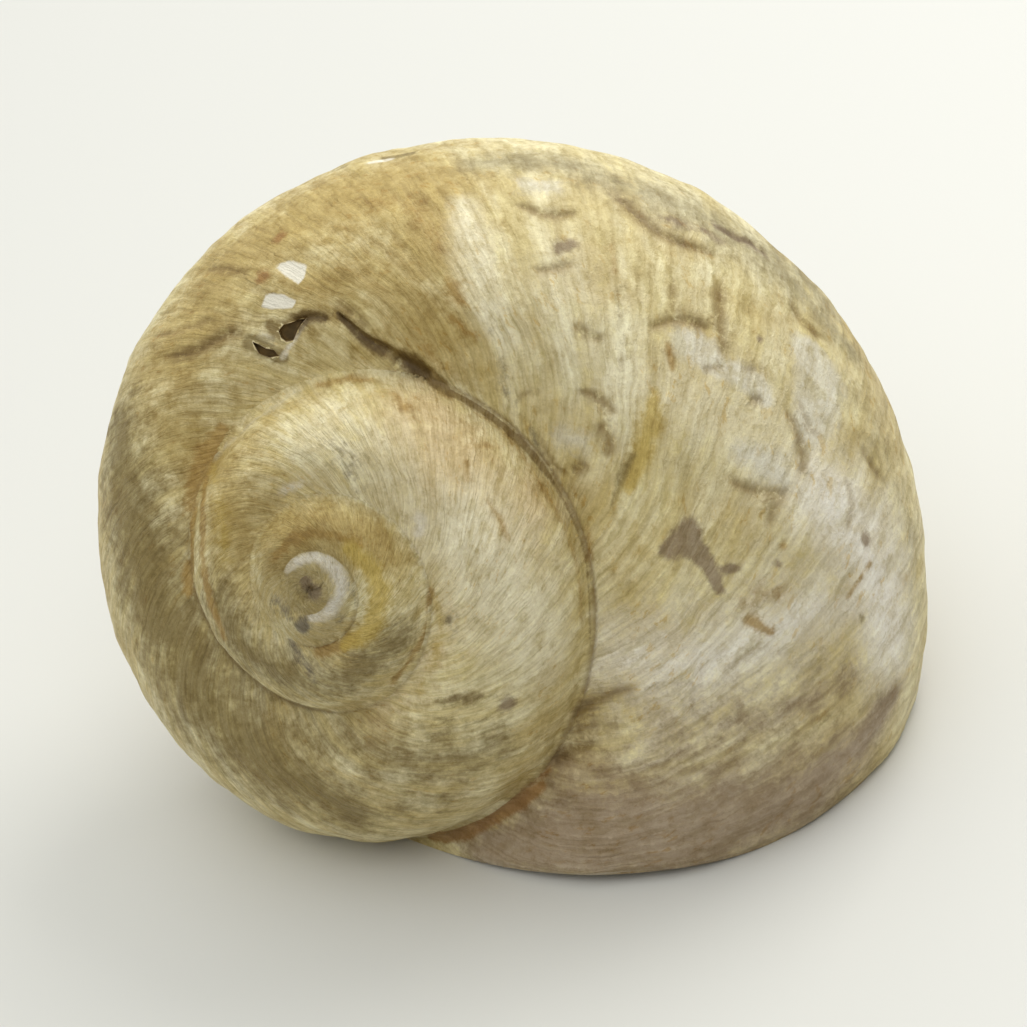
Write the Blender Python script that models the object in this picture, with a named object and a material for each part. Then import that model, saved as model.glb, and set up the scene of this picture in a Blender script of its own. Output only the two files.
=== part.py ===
"""Moon snail shell, one body, lying on the flat plane of its aperture.

The shell is first laid out about its own coiling axis, apex up, in units of the last whorl's
radius.  It is then turned and scaled so that the lip lies in the plane z = 0.
Every whorl has nearly the same cross section, scaled up by a nearly constant factor per turn,
which is how a snail grows.  Angles along the spiral are radians, zero at the suture end of the
lip and negative towards the apex.
"""

import math

import bmesh
import bpy
import numpy as np
from mathutils import Matrix, Vector

NODE = "shell"
MM = 0.001
UNIT = 43.5 * MM  # radius of the last whorl at the suture end of the lip

# Growth along the spiral
GROWTH = 0.1226  # natural logarithm of the size gained per radian
GROWTH_SLOWING = 0.0001  # loss of growth rate per radian
SWELL_WIDTH = 0.85  # angular width of each swelling, radians
# Slight swellings and pinches of the whorl, as spiral angle and relative size
SWELLS = (
    (-9.0, 0.0044),
    (-7.4, -0.0073),
    (-6.0, 0.0461),
    (-4.7, -0.0706),
    (-3.4, -0.0486),
    (-2.2, 0.0086),
    (-1.0, -0.0314),
    (0.2, 0.0396),
)

# Cross section of a whorl of unit size, a leaning superellipse
SECTION_RADIUS = 0.5629  # distance of its centre from the coiling axis
SECTION_HEIGHT = -0.7552  # height of its centre under the pole of the spiral
SECTION_SINKING = -0.0196  # change of that height per radian
HALF_WIDTH = 0.4427
HALF_HEIGHT_ABOVE = 0.4664
HALF_HEIGHT_BELOW = 0.3644
SECTION_LEAN = -0.2749
SECTION_POWER = 1.7888
# The base of the last whorl is fuller than that of the earlier ones
BASE_FULLNESS = 0.28
BASE_FILLING_START = -6.0
BASE_FILLING_LENGTH = 2.6

# Extent of the spiral
TURNS = 5
ROWS_PER_TURN = 40
END_ANGLE = 0.12  # past the plane of the lip, so that the flat cut makes the rim
START_ANGLE = END_ANGLE - TURNS * 2 * math.pi
SPIRE_COLUMNS = 8  # from suture to suture
BASE_COLUMNS = 9  # from the next suture's level round the base to the navel
FIRST_WHORL_TOP = math.radians(100)
SUTURE_SEARCH = np.radians(np.linspace(110, -60, 681))  # parameters tried for the suture

# Navel, the funnel at the coiling axis
NAVEL_DEPTH = -0.66
NAVEL_EDGE_START = math.radians(-96)
NAVEL_EDGE_END = math.radians(-165)

# Callus, a rounded lobe of shell beside the navel at the inner lip
CALLUS_ANGLE = 0.26
CALLUS_RADIUS = 0.14
CALLUS_HEIGHT = -0.74
CALLUS_SIZE = (0.10, 0.145, 0.19)  # half extents outward, along the whorl and along the axis
CALLUS_SEGMENTS = 20
CALLUS_RINGS = 12

# Living chamber
WALL = 0.075  # inset of the chamber in the whorl, as a share of the section
GLAZE = 0.035  # thickness of the layer over the previous whorl
CHAMBER_START = -7.6
CHAMBER_END = END_ANGLE + 0.25
CHAMBER_ROWS = 50
CHAMBER_RAYS = 22
CHAMBER_CENTRE = (0.615, -0.86)
RAY_STEPS = np.linspace(0, 1.2, 481)  # distances tried along each ray
CHAMBER_TIP_ROWS = 5  # rows over which the closed end is rounded
CHAMBER_TIP_OFFSET = 0.6

# Resting position: the coiling axis leans from the upright in one direction
SPIRAL_PHASE = math.radians(-86.17)  # turn of the shell about its own axis
AXIS_LEAN = math.radians(60.98)
LEAN_DIRECTION = math.radians(-18.97)
POLE_HEIGHT = 0.59  # height of the spiral's pole above the ground, in units

# Break in the wall above the suture
BREAK_ANGLE = -3.4
BREAK_TURN = math.radians(95)
BREAK_SIZE = (2.4 * MM, 1.1 * MM, 4.0 * MM)  # half length, half width, half depth
BREAK_SLANT = math.radians(35)
BREAK_SIDES = 7
BREAK_TAPER = 0.25  # the break is this share wider outside and narrower inside
NEARBY = 0.05  # radians, to find directions in the surface

SHARP_EDGE = math.radians(40)
GROUND_SIZE = 6 * UNIT

TAN = (0.52, 0.43, 0.29, 1.0)
SURFACE_ROUGHNESS = 0.55


def growth_scale(angle):
    """Size of the whorl at this spiral angle."""
    scale = math.exp(GROWTH * angle - GROWTH_SLOWING * angle * angle)
    swelling = 0.0
    for centre, amount in SWELLS:
        swelling += amount * math.exp(-(((angle - centre) / SWELL_WIDTH) ** 2))
    return scale * (1 + swelling)


def section_centre_height(angle):
    """Height of the section's centre, for a whorl of unit size."""
    return SECTION_HEIGHT + SECTION_SINKING * angle


def signed_power(value, power):
    return np.sign(value) * np.abs(value) ** power


def half_height(angle, upward):
    """Half height of the section on its upper or its lower side."""
    share = min(1.0, max(0.0, (angle - BASE_FILLING_START) / BASE_FILLING_LENGTH))
    below = HALF_HEIGHT_BELOW * (1 + BASE_FULLNESS * share * share * (3 - 2 * share))
    return np.where(upward > 0, HALF_HEIGHT_ABOVE, below)


def section_point(angle, turn):
    """Radius and height of the section's outline at the parameter turn."""
    upward = np.sin(turn)
    along = HALF_WIDTH * signed_power(np.cos(turn), 2 / SECTION_POWER)
    across = half_height(angle, upward) * signed_power(upward, 2 / SECTION_POWER)
    cosine = math.cos(SECTION_LEAN)
    sine = math.sin(SECTION_LEAN)
    radius = SECTION_RADIUS + along * cosine - across * sine
    height = section_centre_height(angle) + along * sine + across * cosine
    scale = growth_scale(angle)
    return scale * radius, scale * height


def section_frame(angle, radius, height):
    """The point in the section's own leaning axes, each divided by its half width."""
    scale = growth_scale(angle)
    right = radius / scale - SECTION_RADIUS
    up = height / scale - section_centre_height(angle)
    along = right * math.cos(SECTION_LEAN) + up * math.sin(SECTION_LEAN)
    across = -right * math.sin(SECTION_LEAN) + up * math.cos(SECTION_LEAN)
    return along / HALF_WIDTH, across / half_height(angle, across)


def section_level(angle, radius, height):
    """Below 1 inside the whorl's section at this angle, above 1 outside."""
    along, across = section_frame(angle, radius, height)
    return (np.abs(along) ** SECTION_POWER + np.abs(across) ** SECTION_POWER) ** (1 / SECTION_POWER)


def suture_turn(angle):
    """Parameter on the previous whorl's section where this whorl's section meets it."""
    turns = SUTURE_SEARCH
    radius, height = section_point(angle - 2 * math.pi, turns)
    level = section_level(angle, radius, height)
    first = int(np.argmax(level < 1))
    share = (level[first - 1] - 1) / (level[first - 1] - level[first])
    return turns[first - 1] + share * (turns[first] - turns[first - 1])


def suture_turn_on_own(angle):
    """Parameter on this whorl's own section at its suture with the previous whorl."""
    radius, height = section_point(angle - 2 * math.pi, suture_turn(angle))
    along, across = section_frame(angle, radius, height)
    power = SECTION_POWER / 2
    return math.atan2(float(signed_power(across, power)), float(signed_power(along, power)))


def place(angle, radius, height):
    """A point of the half plane at this spiral angle, in the coiling frame."""
    return Vector((radius * math.cos(angle), -radius * math.sin(angle), height))


def row_angle(row):
    return START_ANGLE + row * 2 * math.pi / ROWS_PER_TURN


def spire_arc(angle, first_turn):
    """Turns from the upper suture to the level of the next whorl's suture, first left out."""
    low = suture_turn(angle + 2 * math.pi)
    return np.linspace(first_turn, low, SPIRE_COLUMNS + 1)[1:]


def base_arc(angle, share):
    """Turns from the next suture's level round the base to the edge of the navel."""
    low = suture_turn(angle + 2 * math.pi)
    edge = NAVEL_EDGE_START + share * (NAVEL_EDGE_END - NAVEL_EDGE_START)
    return np.linspace(low, edge, BASE_COLUMNS)[1:]


def outer_body():
    """Closed outer form of all whorls, ending in a flat section past the lip."""
    mesh = bmesh.new()
    rows = TURNS * ROWS_PER_TURN
    last_turn = rows - ROWS_PER_TURN
    top_height = section_point(START_ANGLE, FIRST_WHORL_TOP)[1]
    apex = mesh.verts.new((0, 0, top_height))
    navel = mesh.verts.new((0, 0, NAVEL_DEPTH))
    grid = []
    for row in range(rows + 1):
        angle = row_angle(row)
        first = FIRST_WHORL_TOP if row < ROWS_PER_TURN else suture_turn_on_own(angle)
        turns = list(spire_arc(angle, first))
        line = [apex if row < ROWS_PER_TURN else grid[row - ROWS_PER_TURN][SPIRE_COLUMNS]]
        if row >= last_turn:
            turns += list(base_arc(angle, (row - last_turn) / ROWS_PER_TURN))
        for turn in turns:
            line.append(mesh.verts.new(place(angle, *section_point(angle, turn))))
        if row >= last_turn:
            line.append(navel)
        grid.append(line)
    for row in range(rows):
        columns = SPIRE_COLUMNS if row < last_turn else SPIRE_COLUMNS + BASE_COLUMNS
        for column in range(columns):
            corners = [
                grid[row][column],
                grid[row + 1][column],
                grid[row + 1][column + 1],
                grid[row][column + 1],
            ]
            mesh.faces.new(list(dict.fromkeys(corners)))
    mesh.faces.new(grid[0][: SPIRE_COLUMNS + 1])
    inner_edge = grid[last_turn][SPIRE_COLUMNS + 1 : -1]
    mesh.faces.new(grid[rows] + inner_edge[::-1])
    bmesh.ops.recalc_face_normals(mesh, faces=mesh.faces)
    return mesh


def callus():
    """Ellipsoid that thickens the inner lip and covers part of the navel."""
    mesh = bmesh.new()
    bmesh.ops.create_uvsphere(
        mesh, u_segments=CALLUS_SEGMENTS, v_segments=CALLUS_RINGS, radius=1.0
    )
    sizes = Matrix.Diagonal(CALLUS_SIZE + (1.0,))
    turn = Matrix.Rotation(-CALLUS_ANGLE, 4, "Z")
    mesh.transform(Matrix.Translation(place(CALLUS_ANGLE, CALLUS_RADIUS, CALLUS_HEIGHT)) @ turn @ sizes)
    return mesh


def chamber_section(angle, size):
    """Outline of the living chamber in one half plane, as rays from its centre."""
    scale = growth_scale(angle)
    centre = np.array(CHAMBER_CENTRE)
    centre[1] += SECTION_SINKING * angle
    steps = RAY_STEPS
    points = []
    for ray in range(CHAMBER_RAYS):
        direction = 2 * math.pi * ray / CHAMBER_RAYS
        radius = scale * (centre[0] + steps * math.cos(direction))
        height = scale * (centre[1] + steps * math.sin(direction))
        inside_own = section_level(angle, radius, height) - (1 - WALL)
        inside_previous = 1 + 2 * GLAZE - section_level(angle - 2 * math.pi, radius, height)
        outside = np.maximum(inside_own, inside_previous)
        first = int(np.argmax(outside > 0))
        share = outside[first - 1] / (outside[first - 1] - outside[first])
        reach = size * (steps[first - 1] + share * (steps[first] - steps[first - 1]))
        points.append(
            (
                scale * (centre[0] + reach * math.cos(direction)),
                scale * (centre[1] + reach * math.sin(direction)),
            )
        )
    return points


def chamber():
    """The hollow of the last whorls, which opens through the lip."""
    mesh = bmesh.new()
    rings = []
    for row in range(CHAMBER_ROWS + 1):
        angle = CHAMBER_START + (CHAMBER_END - CHAMBER_START) * row / CHAMBER_ROWS
        tip = min(1.0, (row + CHAMBER_TIP_OFFSET) / CHAMBER_TIP_ROWS)
        size = math.sqrt(1 - (1 - tip) ** 2)
        ring = [mesh.verts.new(place(angle, *point)) for point in chamber_section(angle, size)]
        rings.append(ring)
    for near, far in zip(rings, rings[1:]):
        for index in range(CHAMBER_RAYS):
            following = (index + 1) % CHAMBER_RAYS
            mesh.faces.new((near[index], far[index], far[following], near[following]))
    mesh.faces.new(rings[0])
    mesh.faces.new(rings[-1])
    bmesh.ops.recalc_face_normals(mesh, faces=mesh.faces)
    return mesh


def break_in_wall():
    """Slanting wedge through the wall where a piece of the whorl has broken out."""
    radius, height = section_point(BREAK_ANGLE, BREAK_TURN)
    centre = place(BREAK_ANGLE, radius, height)
    beside = place(BREAK_ANGLE, *section_point(BREAK_ANGLE, BREAK_TURN - NEARBY))
    ahead = place(BREAK_ANGLE + NEARBY, *section_point(BREAK_ANGLE + NEARBY, BREAK_TURN))
    across = (beside - centre).normalized()
    along = (ahead - centre).normalized()
    outward = along.cross(across).normalized()
    along = across.cross(outward)
    mesh = bmesh.new()
    bmesh.ops.create_cone(
        mesh,
        cap_ends=True,
        segments=BREAK_SIDES,
        radius1=1 - BREAK_TAPER,
        radius2=1 + BREAK_TAPER,
        depth=2.0,
        matrix=Matrix.Diagonal(tuple(size / UNIT for size in BREAK_SIZE) + (1.0,)),
    )
    frame = Matrix((along, across, outward)).transposed().to_4x4()
    turn = Matrix.Rotation(BREAK_SLANT, 4, "Z")
    mesh.transform(Matrix.Translation(centre) @ frame @ turn)
    return mesh


def to_rest():
    """Matrix from the coiling frame in units to the resting frame in metres."""
    spin = Matrix.Rotation(SPIRAL_PHASE, 4, "Z")
    lean = Matrix.Rotation(AXIS_LEAN, 4, "X")
    heading = Matrix.Rotation(LEAN_DIRECTION, 4, "Z")
    lift = Matrix.Translation((0, 0, POLE_HEIGHT))
    return Matrix.Scale(UNIT, 4) @ lift @ heading @ lean @ spin


def clear_scene():
    for obj in list(bpy.data.objects):
        bpy.data.objects.remove(obj, do_unlink=True)


def new_collection(name, hidden=False):
    collection = bpy.data.collections.new(name)
    collection.hide_render = hidden
    bpy.context.scene.collection.children.link(collection)
    return collection


def add_object(name, mesh, collection):
    data = bpy.data.meshes.new(name)
    mesh.to_mesh(data)
    mesh.free()
    obj = bpy.data.objects.new(name, data)
    collection.objects.link(obj)
    return obj


def ground_block():
    """Everything below the plane of the lip."""
    mesh = bmesh.new()
    shift = Matrix.Translation((0, 0, -GROUND_SIZE / 2))
    bmesh.ops.create_cube(mesh, size=GROUND_SIZE, matrix=shift)
    return mesh


def combine(target, cutter, operation):
    cutter.display_type = "WIRE"
    modifier = target.modifiers.new(cutter.name, "BOOLEAN")
    modifier.operation = operation
    modifier.solver = "EXACT"
    modifier.object = cutter


def shell_material():
    material = bpy.data.materials.new("dull_tan_shell")
    material.use_nodes = True
    shader = material.node_tree.nodes["Principled BSDF"]
    shader.inputs["Base Color"].default_value = TAN
    shader.inputs["Roughness"].default_value = SURFACE_ROUGHNESS
    return material


def apply_modifiers(obj):
    """Turns the cut form into plain mesh, so that it can be measured and centred."""
    graph = bpy.context.evaluated_depsgraph_get()
    data = bpy.data.meshes.new_from_object(obj.evaluated_get(graph))
    obj.modifiers.clear()
    obj.data = data


def centre_on_ground(obj):
    """Moves the middle of the bounding box over the origin, keeping the height."""
    corners = np.array([vertex.co for vertex in obj.data.vertices])
    middle = (corners.min(axis=0) + corners.max(axis=0)) / 2
    obj.data.transform(Matrix.Translation((-middle[0], -middle[1], 0)))


def shade_smooth(obj):
    """Smooth whorls, with the rim of the flat cut left sharp."""
    mesh = bmesh.new()
    mesh.from_mesh(obj.data)
    for edge in mesh.edges:
        edge.smooth = len(edge.link_faces) == 2 and edge.calc_face_angle(0.0) < SHARP_EDGE
    for face in mesh.faces:
        face.smooth = True
    mesh.to_mesh(obj.data)
    mesh.free()


def build():
    clear_scene()
    parts = new_collection("moon_snail_shell")
    cutters = new_collection("cutters", hidden=True)
    rest = to_rest()
    shell = add_object(NODE, outer_body(), parts)
    shell.data.transform(rest)
    hollow = add_object("chamber", chamber(), cutters)
    hollow.data.transform(rest)
    combine(shell, hollow, "DIFFERENCE")
    lobe = add_object("callus", callus(), cutters)
    lobe.data.transform(rest)
    combine(shell, lobe, "UNION")
    gap = add_object("break_in_wall", break_in_wall(), cutters)
    gap.data.transform(rest)
    ground = add_object("ground", ground_block(), cutters)
    for cutter in (gap, ground):
        combine(shell, cutter, "DIFFERENCE")
    apply_modifiers(shell)
    centre_on_ground(shell)
    shade_smooth(shell)
    shell.data.materials.append(shell_material())


build()
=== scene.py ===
"""Looks of the moon snail shell: its grown surface, wear, stains and breaks, in soft studio light.

The shell is laid out about its coiling axis in units of the last whorl's radius, as the solid is,
and then turned onto the flat plane of its mouth.  Angles along the spiral are radians, zero at
the suture end of the lip and negative towards the apex.  The turn is the parameter round a
whorl's section, from the upper suture round the outside to the navel.
"""

import math

import bmesh
import bpy
import numpy as np
from mathutils import Matrix, Vector, noise
from mathutils.bvhtree import BVHTree
from mathutils.kdtree import KDTree


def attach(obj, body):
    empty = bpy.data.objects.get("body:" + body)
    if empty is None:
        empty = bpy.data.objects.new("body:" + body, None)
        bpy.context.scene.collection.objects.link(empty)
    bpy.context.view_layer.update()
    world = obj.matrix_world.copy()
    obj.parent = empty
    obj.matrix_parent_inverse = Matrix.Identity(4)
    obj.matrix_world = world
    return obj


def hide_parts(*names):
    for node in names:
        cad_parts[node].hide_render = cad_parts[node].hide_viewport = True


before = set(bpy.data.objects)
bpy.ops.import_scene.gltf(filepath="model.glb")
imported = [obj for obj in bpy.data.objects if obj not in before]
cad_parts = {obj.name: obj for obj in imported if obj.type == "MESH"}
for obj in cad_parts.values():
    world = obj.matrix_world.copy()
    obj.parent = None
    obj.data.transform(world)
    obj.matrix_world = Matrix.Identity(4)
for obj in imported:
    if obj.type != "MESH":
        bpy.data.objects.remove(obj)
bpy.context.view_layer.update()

MM = 0.001
UNIT = 43.5 * MM  # radius of the last whorl at the suture end of the lip

# Growth along the spiral
GROWTH = 0.1226
GROWTH_SLOWING = 0.0001
SWELL_WIDTH = 0.85
SWELLS = (
    (-9.0, 0.0044),
    (-7.4, -0.0073),
    (-6.0, 0.0461),
    (-4.7, -0.0706),
    (-3.4, -0.0486),
    (-2.2, 0.0086),
    (-1.0, -0.0314),
    (0.2, 0.0396),
)

# Cross section of a whorl of unit size
SECTION_RADIUS = 0.5629
SECTION_HEIGHT = -0.7552
SECTION_SINKING = -0.0196
HALF_WIDTH = 0.4427
HALF_HEIGHT_ABOVE = 0.4664
HALF_HEIGHT_BELOW = 0.3644
SECTION_LEAN = -0.2749
SECTION_POWER = 1.7888
BASE_FULLNESS = 0.28
BASE_FILLING_START = -6.0
BASE_FILLING_LENGTH = 2.6

# Extent of the spiral
TURNS = 5
END_ANGLE = 0.12
START_ANGLE = END_ANGLE - TURNS * 2 * math.pi
FIRST_WHORL_TOP = math.radians(100)
SUTURE_SEARCH = np.radians(np.linspace(110, -60, 681))

# Mesh of the outer surface: the last turn is the finest
FINENESS = 2
FINE_ROWS = 224 * FINENESS
FINE_COLUMNS = 56 * FINENESS
TURN_STEPS = (8, 4, 4, 2, 1)
BASE_COLUMNS = 26 * FINENESS
BASE_ROW_STEP = 2

# Navel and callus
NAVEL_DEPTH = -0.66
NAVEL_EDGE_START = math.radians(-96)
NAVEL_EDGE_END = math.radians(-165)
CALLUS_ANGLE = 0.26
CALLUS_RADIUS = 0.14
CALLUS_HEIGHT = -0.74
CALLUS_SIZE = (0.10, 0.145, 0.19)
CALLUS_REACH = 1.3  # times its size, to which the smoothing of its joint fades out
CALLUS_ROUNDS = 10
CALLUS_SEGMENTS = 32 * FINENESS
CALLUS_RINGS = 20 * FINENESS

# Living chamber
WALL = 0.075
GLAZE = 0.035
CHAMBER_START = -7.6
CHAMBER_END = END_ANGLE + 0.25
CHAMBER_ROWS = 56 * FINENESS
CHAMBER_RAYS = 28 * FINENESS
CHAMBER_CENTRE = (0.615, -0.86)
CHAMBER_TIP_LENGTH = 0.8
CHAMBER_TIP_START = 0.1
RAY_STEPS = np.linspace(0, 1.2, 481)  # distances tried along each ray
GROUND_SIZE = 6 * UNIT

# Resting position
SPIRAL_PHASE = math.radians(-86.17)
AXIS_LEAN = math.radians(60.98)
LEAN_DIRECTION = math.radians(-18.97)
POLE_HEIGHT = 0.59

# Camera, in the shell's own frame
FRAME_SIZE = 1027
CAMERA_PLACE = (0.03334, -0.23810, 0.20335)
CAMERA_RIGHT = Vector((0.98488, 0.0, -0.17322))
CAMERA_UP = Vector((0.13599, 0.61939, 0.77322))
CAMERA_BACK = Vector((0.10729, -0.78509, 0.61002))
FOCAL_PIXELS = 4203.94
SENSOR = 36.0
CAMERA_CLIP = (0.01, 10.0)


def growth_scale(angle):
    """Size of the whorl at these spiral angles."""
    swelling = sum(amount * np.exp(-(((angle - at) / SWELL_WIDTH) ** 2)) for at, amount in SWELLS)
    return np.exp(GROWTH * angle - GROWTH_SLOWING * angle * angle) * (1 + swelling)


def signed_power(value, power):
    return np.sign(value) * np.abs(value) ** power


def half_height(angle, upward):
    """Half height of the section on its upper or its lower side."""
    share = np.clip((angle - BASE_FILLING_START) / BASE_FILLING_LENGTH, 0, 1)
    below = HALF_HEIGHT_BELOW * (1 + BASE_FULLNESS * share * share * (3 - 2 * share))
    return np.where(upward > 0, HALF_HEIGHT_ABOVE, below)


def section_point(angle, turn):
    """Radius and height of the section's outline at the parameter turn."""
    upward = np.sin(turn)
    along = HALF_WIDTH * signed_power(np.cos(turn), 2 / SECTION_POWER)
    across = half_height(angle, upward) * signed_power(upward, 2 / SECTION_POWER)
    cosine = math.cos(SECTION_LEAN)
    sine = math.sin(SECTION_LEAN)
    radius = SECTION_RADIUS + along * cosine - across * sine
    height = SECTION_HEIGHT + SECTION_SINKING * angle + along * sine + across * cosine
    scale = growth_scale(angle)
    return scale * radius, scale * height


def section_frame(angle, radius, height):
    """The point in the section's own leaning axes, each divided by its half width."""
    scale = growth_scale(angle)
    right = radius / scale - SECTION_RADIUS
    up = height / scale - SECTION_HEIGHT - SECTION_SINKING * angle
    along = right * math.cos(SECTION_LEAN) + up * math.sin(SECTION_LEAN)
    across = -right * math.sin(SECTION_LEAN) + up * math.cos(SECTION_LEAN)
    return along / HALF_WIDTH, across / half_height(angle, across)


def section_level(angle, radius, height):
    """Below 1 inside the whorl's section, above 1 outside."""
    along, across = section_frame(angle, radius, height)
    return (np.abs(along) ** SECTION_POWER + np.abs(across) ** SECTION_POWER) ** (1 / SECTION_POWER)


def suture_turn(angles):
    """Parameter on the previous whorl's section where each whorl's section meets it."""
    whorl = angles[:, None]
    turns = SUTURE_SEARCH[None, :]
    level = section_level(whorl, *section_point(whorl - 2 * math.pi, turns))
    first = np.argmax(level < 1, axis=1)
    rows = np.arange(len(angles))
    before = level[rows, first - 1]
    share = (before - 1) / (before - level[rows, first])
    return SUTURE_SEARCH[first - 1] + share * (SUTURE_SEARCH[first] - SUTURE_SEARCH[first - 1])


def suture_turn_on_own(angles):
    """Parameter on each whorl's own section at its suture with the previous whorl."""
    radius, height = section_point(angles - 2 * math.pi, suture_turn(angles))
    along, across = section_frame(angles, radius, height)
    power = SECTION_POWER / 2
    return np.arctan2(signed_power(across, power), signed_power(along, power))


def place(angle, radius, height):
    """Points of the half planes at these spiral angles, in the coiling frame."""
    return np.stack((radius * np.cos(angle), -radius * np.sin(angle), height + 0 * angle), axis=-1)


def to_rest():
    """Matrix from the coiling frame in units to the resting frame in metres."""
    spin = Matrix.Rotation(SPIRAL_PHASE, 4, "Z")
    lean = Matrix.Rotation(AXIS_LEAN, 4, "X")
    heading = Matrix.Rotation(LEAN_DIRECTION, 4, "Z")
    lift = Matrix.Translation((0, 0, POLE_HEIGHT))
    return Matrix.Scale(UNIT, 4) @ lift @ heading @ lean @ spin


class Strip:
    """Rows and columns of the outer surface, with finer turns joined to coarser ones."""

    def __init__(self):
        rows = np.arange(TURNS * FINE_ROWS + 1)
        self.angles = START_ANGLE + rows * 2 * math.pi / FINE_ROWS
        own = np.full(len(rows), FIRST_WHORL_TOP)
        own[FINE_ROWS:] = suture_turn_on_own(self.angles[FINE_ROWS:])
        self.first = own
        self.low = suture_turn(self.angles + 2 * math.pi)
        self.last_turn = (TURNS - 1) * FINE_ROWS
        self.corners = []
        self.faces = []
        self.numbers = {}
        self.points = []

    def turn_at(self, row, column):
        if column <= FINE_COLUMNS:
            share = column / FINE_COLUMNS
            return self.first[row] + share * (self.low[row] - self.first[row])
        done = (row - self.last_turn) / FINE_ROWS
        edge = NAVEL_EDGE_START + done * (NAVEL_EDGE_END - NAVEL_EDGE_START)
        share = (column - FINE_COLUMNS) / BASE_COLUMNS
        return self.low[row] + share * (edge - self.low[row])

    def vertex(self, row, column):
        """Number of the vertex there; a suture is the last column of the turn before."""
        if column == 0:
            row, column = (0, 0) if row < FINE_ROWS else (row - FINE_ROWS, FINE_COLUMNS)
        if column > FINE_COLUMNS + BASE_COLUMNS:
            row = self.last_turn
        key = (row, column)
        if key not in self.numbers:
            self.numbers[key] = len(self.points)
            self.points.append(key)
        return self.numbers[key]

    def face(self, spots):
        """Adds a face, leaving out spots that fall on the same vertex."""
        seen = {}
        for row, column in spots:
            seen.setdefault(self.vertex(row, column), (row, column))
        self.faces.append(list(seen))
        self.corners.extend(seen.values())

    def positions(self):
        """Positions of the vertices in the coiling frame."""
        rows = np.array([row for row, column in self.points])
        turns = np.array([self.turn_at(*spot) for spot in self.points])
        angles = self.angles[rows]
        spots = place(angles, *section_point(angles, turns))
        for number, (row, column) in enumerate(self.points):
            if (row, column) == (0, 0):
                spots[number] = (0, 0, section_point(START_ANGLE, FIRST_WHORL_TOP)[1])
            if column > FINE_COLUMNS + BASE_COLUMNS:
                spots[number] = (0, 0, NAVEL_DEPTH)
        return spots


def spire_faces(strip):
    """Faces between the sutures, with extra corners where the next turn is finer."""
    for turn, step in enumerate(TURN_STEPS):
        finer = TURN_STEPS[turn + 1] if turn + 1 < TURNS else step
        end = (turn + 1) * FINE_ROWS
        for row in range(turn * FINE_ROWS, end, step):
            below = row + step
            side = finer if below == end else step
            for column in range(0, FINE_COLUMNS, step):
                right = column + step
                foot = finer if right == FINE_COLUMNS else step
                spots = [(row, column)]
                spots += [(below, each) for each in range(column, right, side)]
                spots += [(each, right) for each in range(below, row, -foot)]
                spots.append((row, right))
                strip.face(spots)


def base_faces(strip):
    """Faces of the last turn's base, round to the pole of the navel."""
    pole = FINE_COLUMNS + BASE_COLUMNS + 1
    end = TURNS * FINE_ROWS
    for row in range(strip.last_turn, end, BASE_ROW_STEP):
        below = row + BASE_ROW_STEP
        for column in range(FINE_COLUMNS, pole):
            spots = [(row, column)]
            if column == FINE_COLUMNS:
                spots += [(each, column) for each in range(row + 1, below)]
            spots += [(below, column), (below, column + 1), (row, column + 1)]
            strip.face(spots)


def outer_mesh():
    """Closed outer form of all whorls, with the angle and the turn of each corner as its UV."""
    strip = Strip()
    spire_faces(strip)
    base_faces(strip)
    start = [(0, column) for column in range(0, FINE_COLUMNS + 1, TURN_STEPS[0])]
    strip.face(start[::-1])
    end = TURNS * FINE_ROWS
    last = [(end, column) for column in range(FINE_COLUMNS + BASE_COLUMNS + 2)]
    inner = [(strip.last_turn, FINE_COLUMNS + each) for each in range(BASE_COLUMNS, 0, -1)]
    strip.face((last + inner)[::-1])
    data = bpy.data.meshes.new("outer")
    data.from_pydata(strip.positions().tolist(), [], strip.faces)
    layer = data.uv_layers.new(name="grown")
    values = []
    for row, column in strip.corners:
        values += [strip.angles[row], strip.turn_at(row, column)]
    layer.data.foreach_set("uv", values)
    return data


def callus_matrix():
    """From a unit ball to the callus in the coiling frame."""
    spot = Vector(place(CALLUS_ANGLE, CALLUS_RADIUS, CALLUS_HEIGHT))
    turn = Matrix.Rotation(-CALLUS_ANGLE, 4, "Z")
    return Matrix.Translation(spot) @ turn @ Matrix.Diagonal(CALLUS_SIZE + (1.0,))


def callus_mesh():
    """Ellipsoid that thickens the inner lip and covers part of the navel."""
    mesh = bmesh.new()
    bmesh.ops.create_uvsphere(
        mesh, u_segments=CALLUS_SEGMENTS, v_segments=CALLUS_RINGS, radius=1.0
    )
    mesh.transform(callus_matrix())
    return finished_mesh("callus", mesh)


def callus_levels(data, shift):
    """Distance from the middle of the callus, 1 at its surface."""
    matrix = np.array((to_rest() @ callus_matrix()).inverted())
    local = (read_vertices(data) - shift) @ matrix[:3, :3].T + matrix[:3, 3]
    return np.linalg.norm(local, axis=1)


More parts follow.
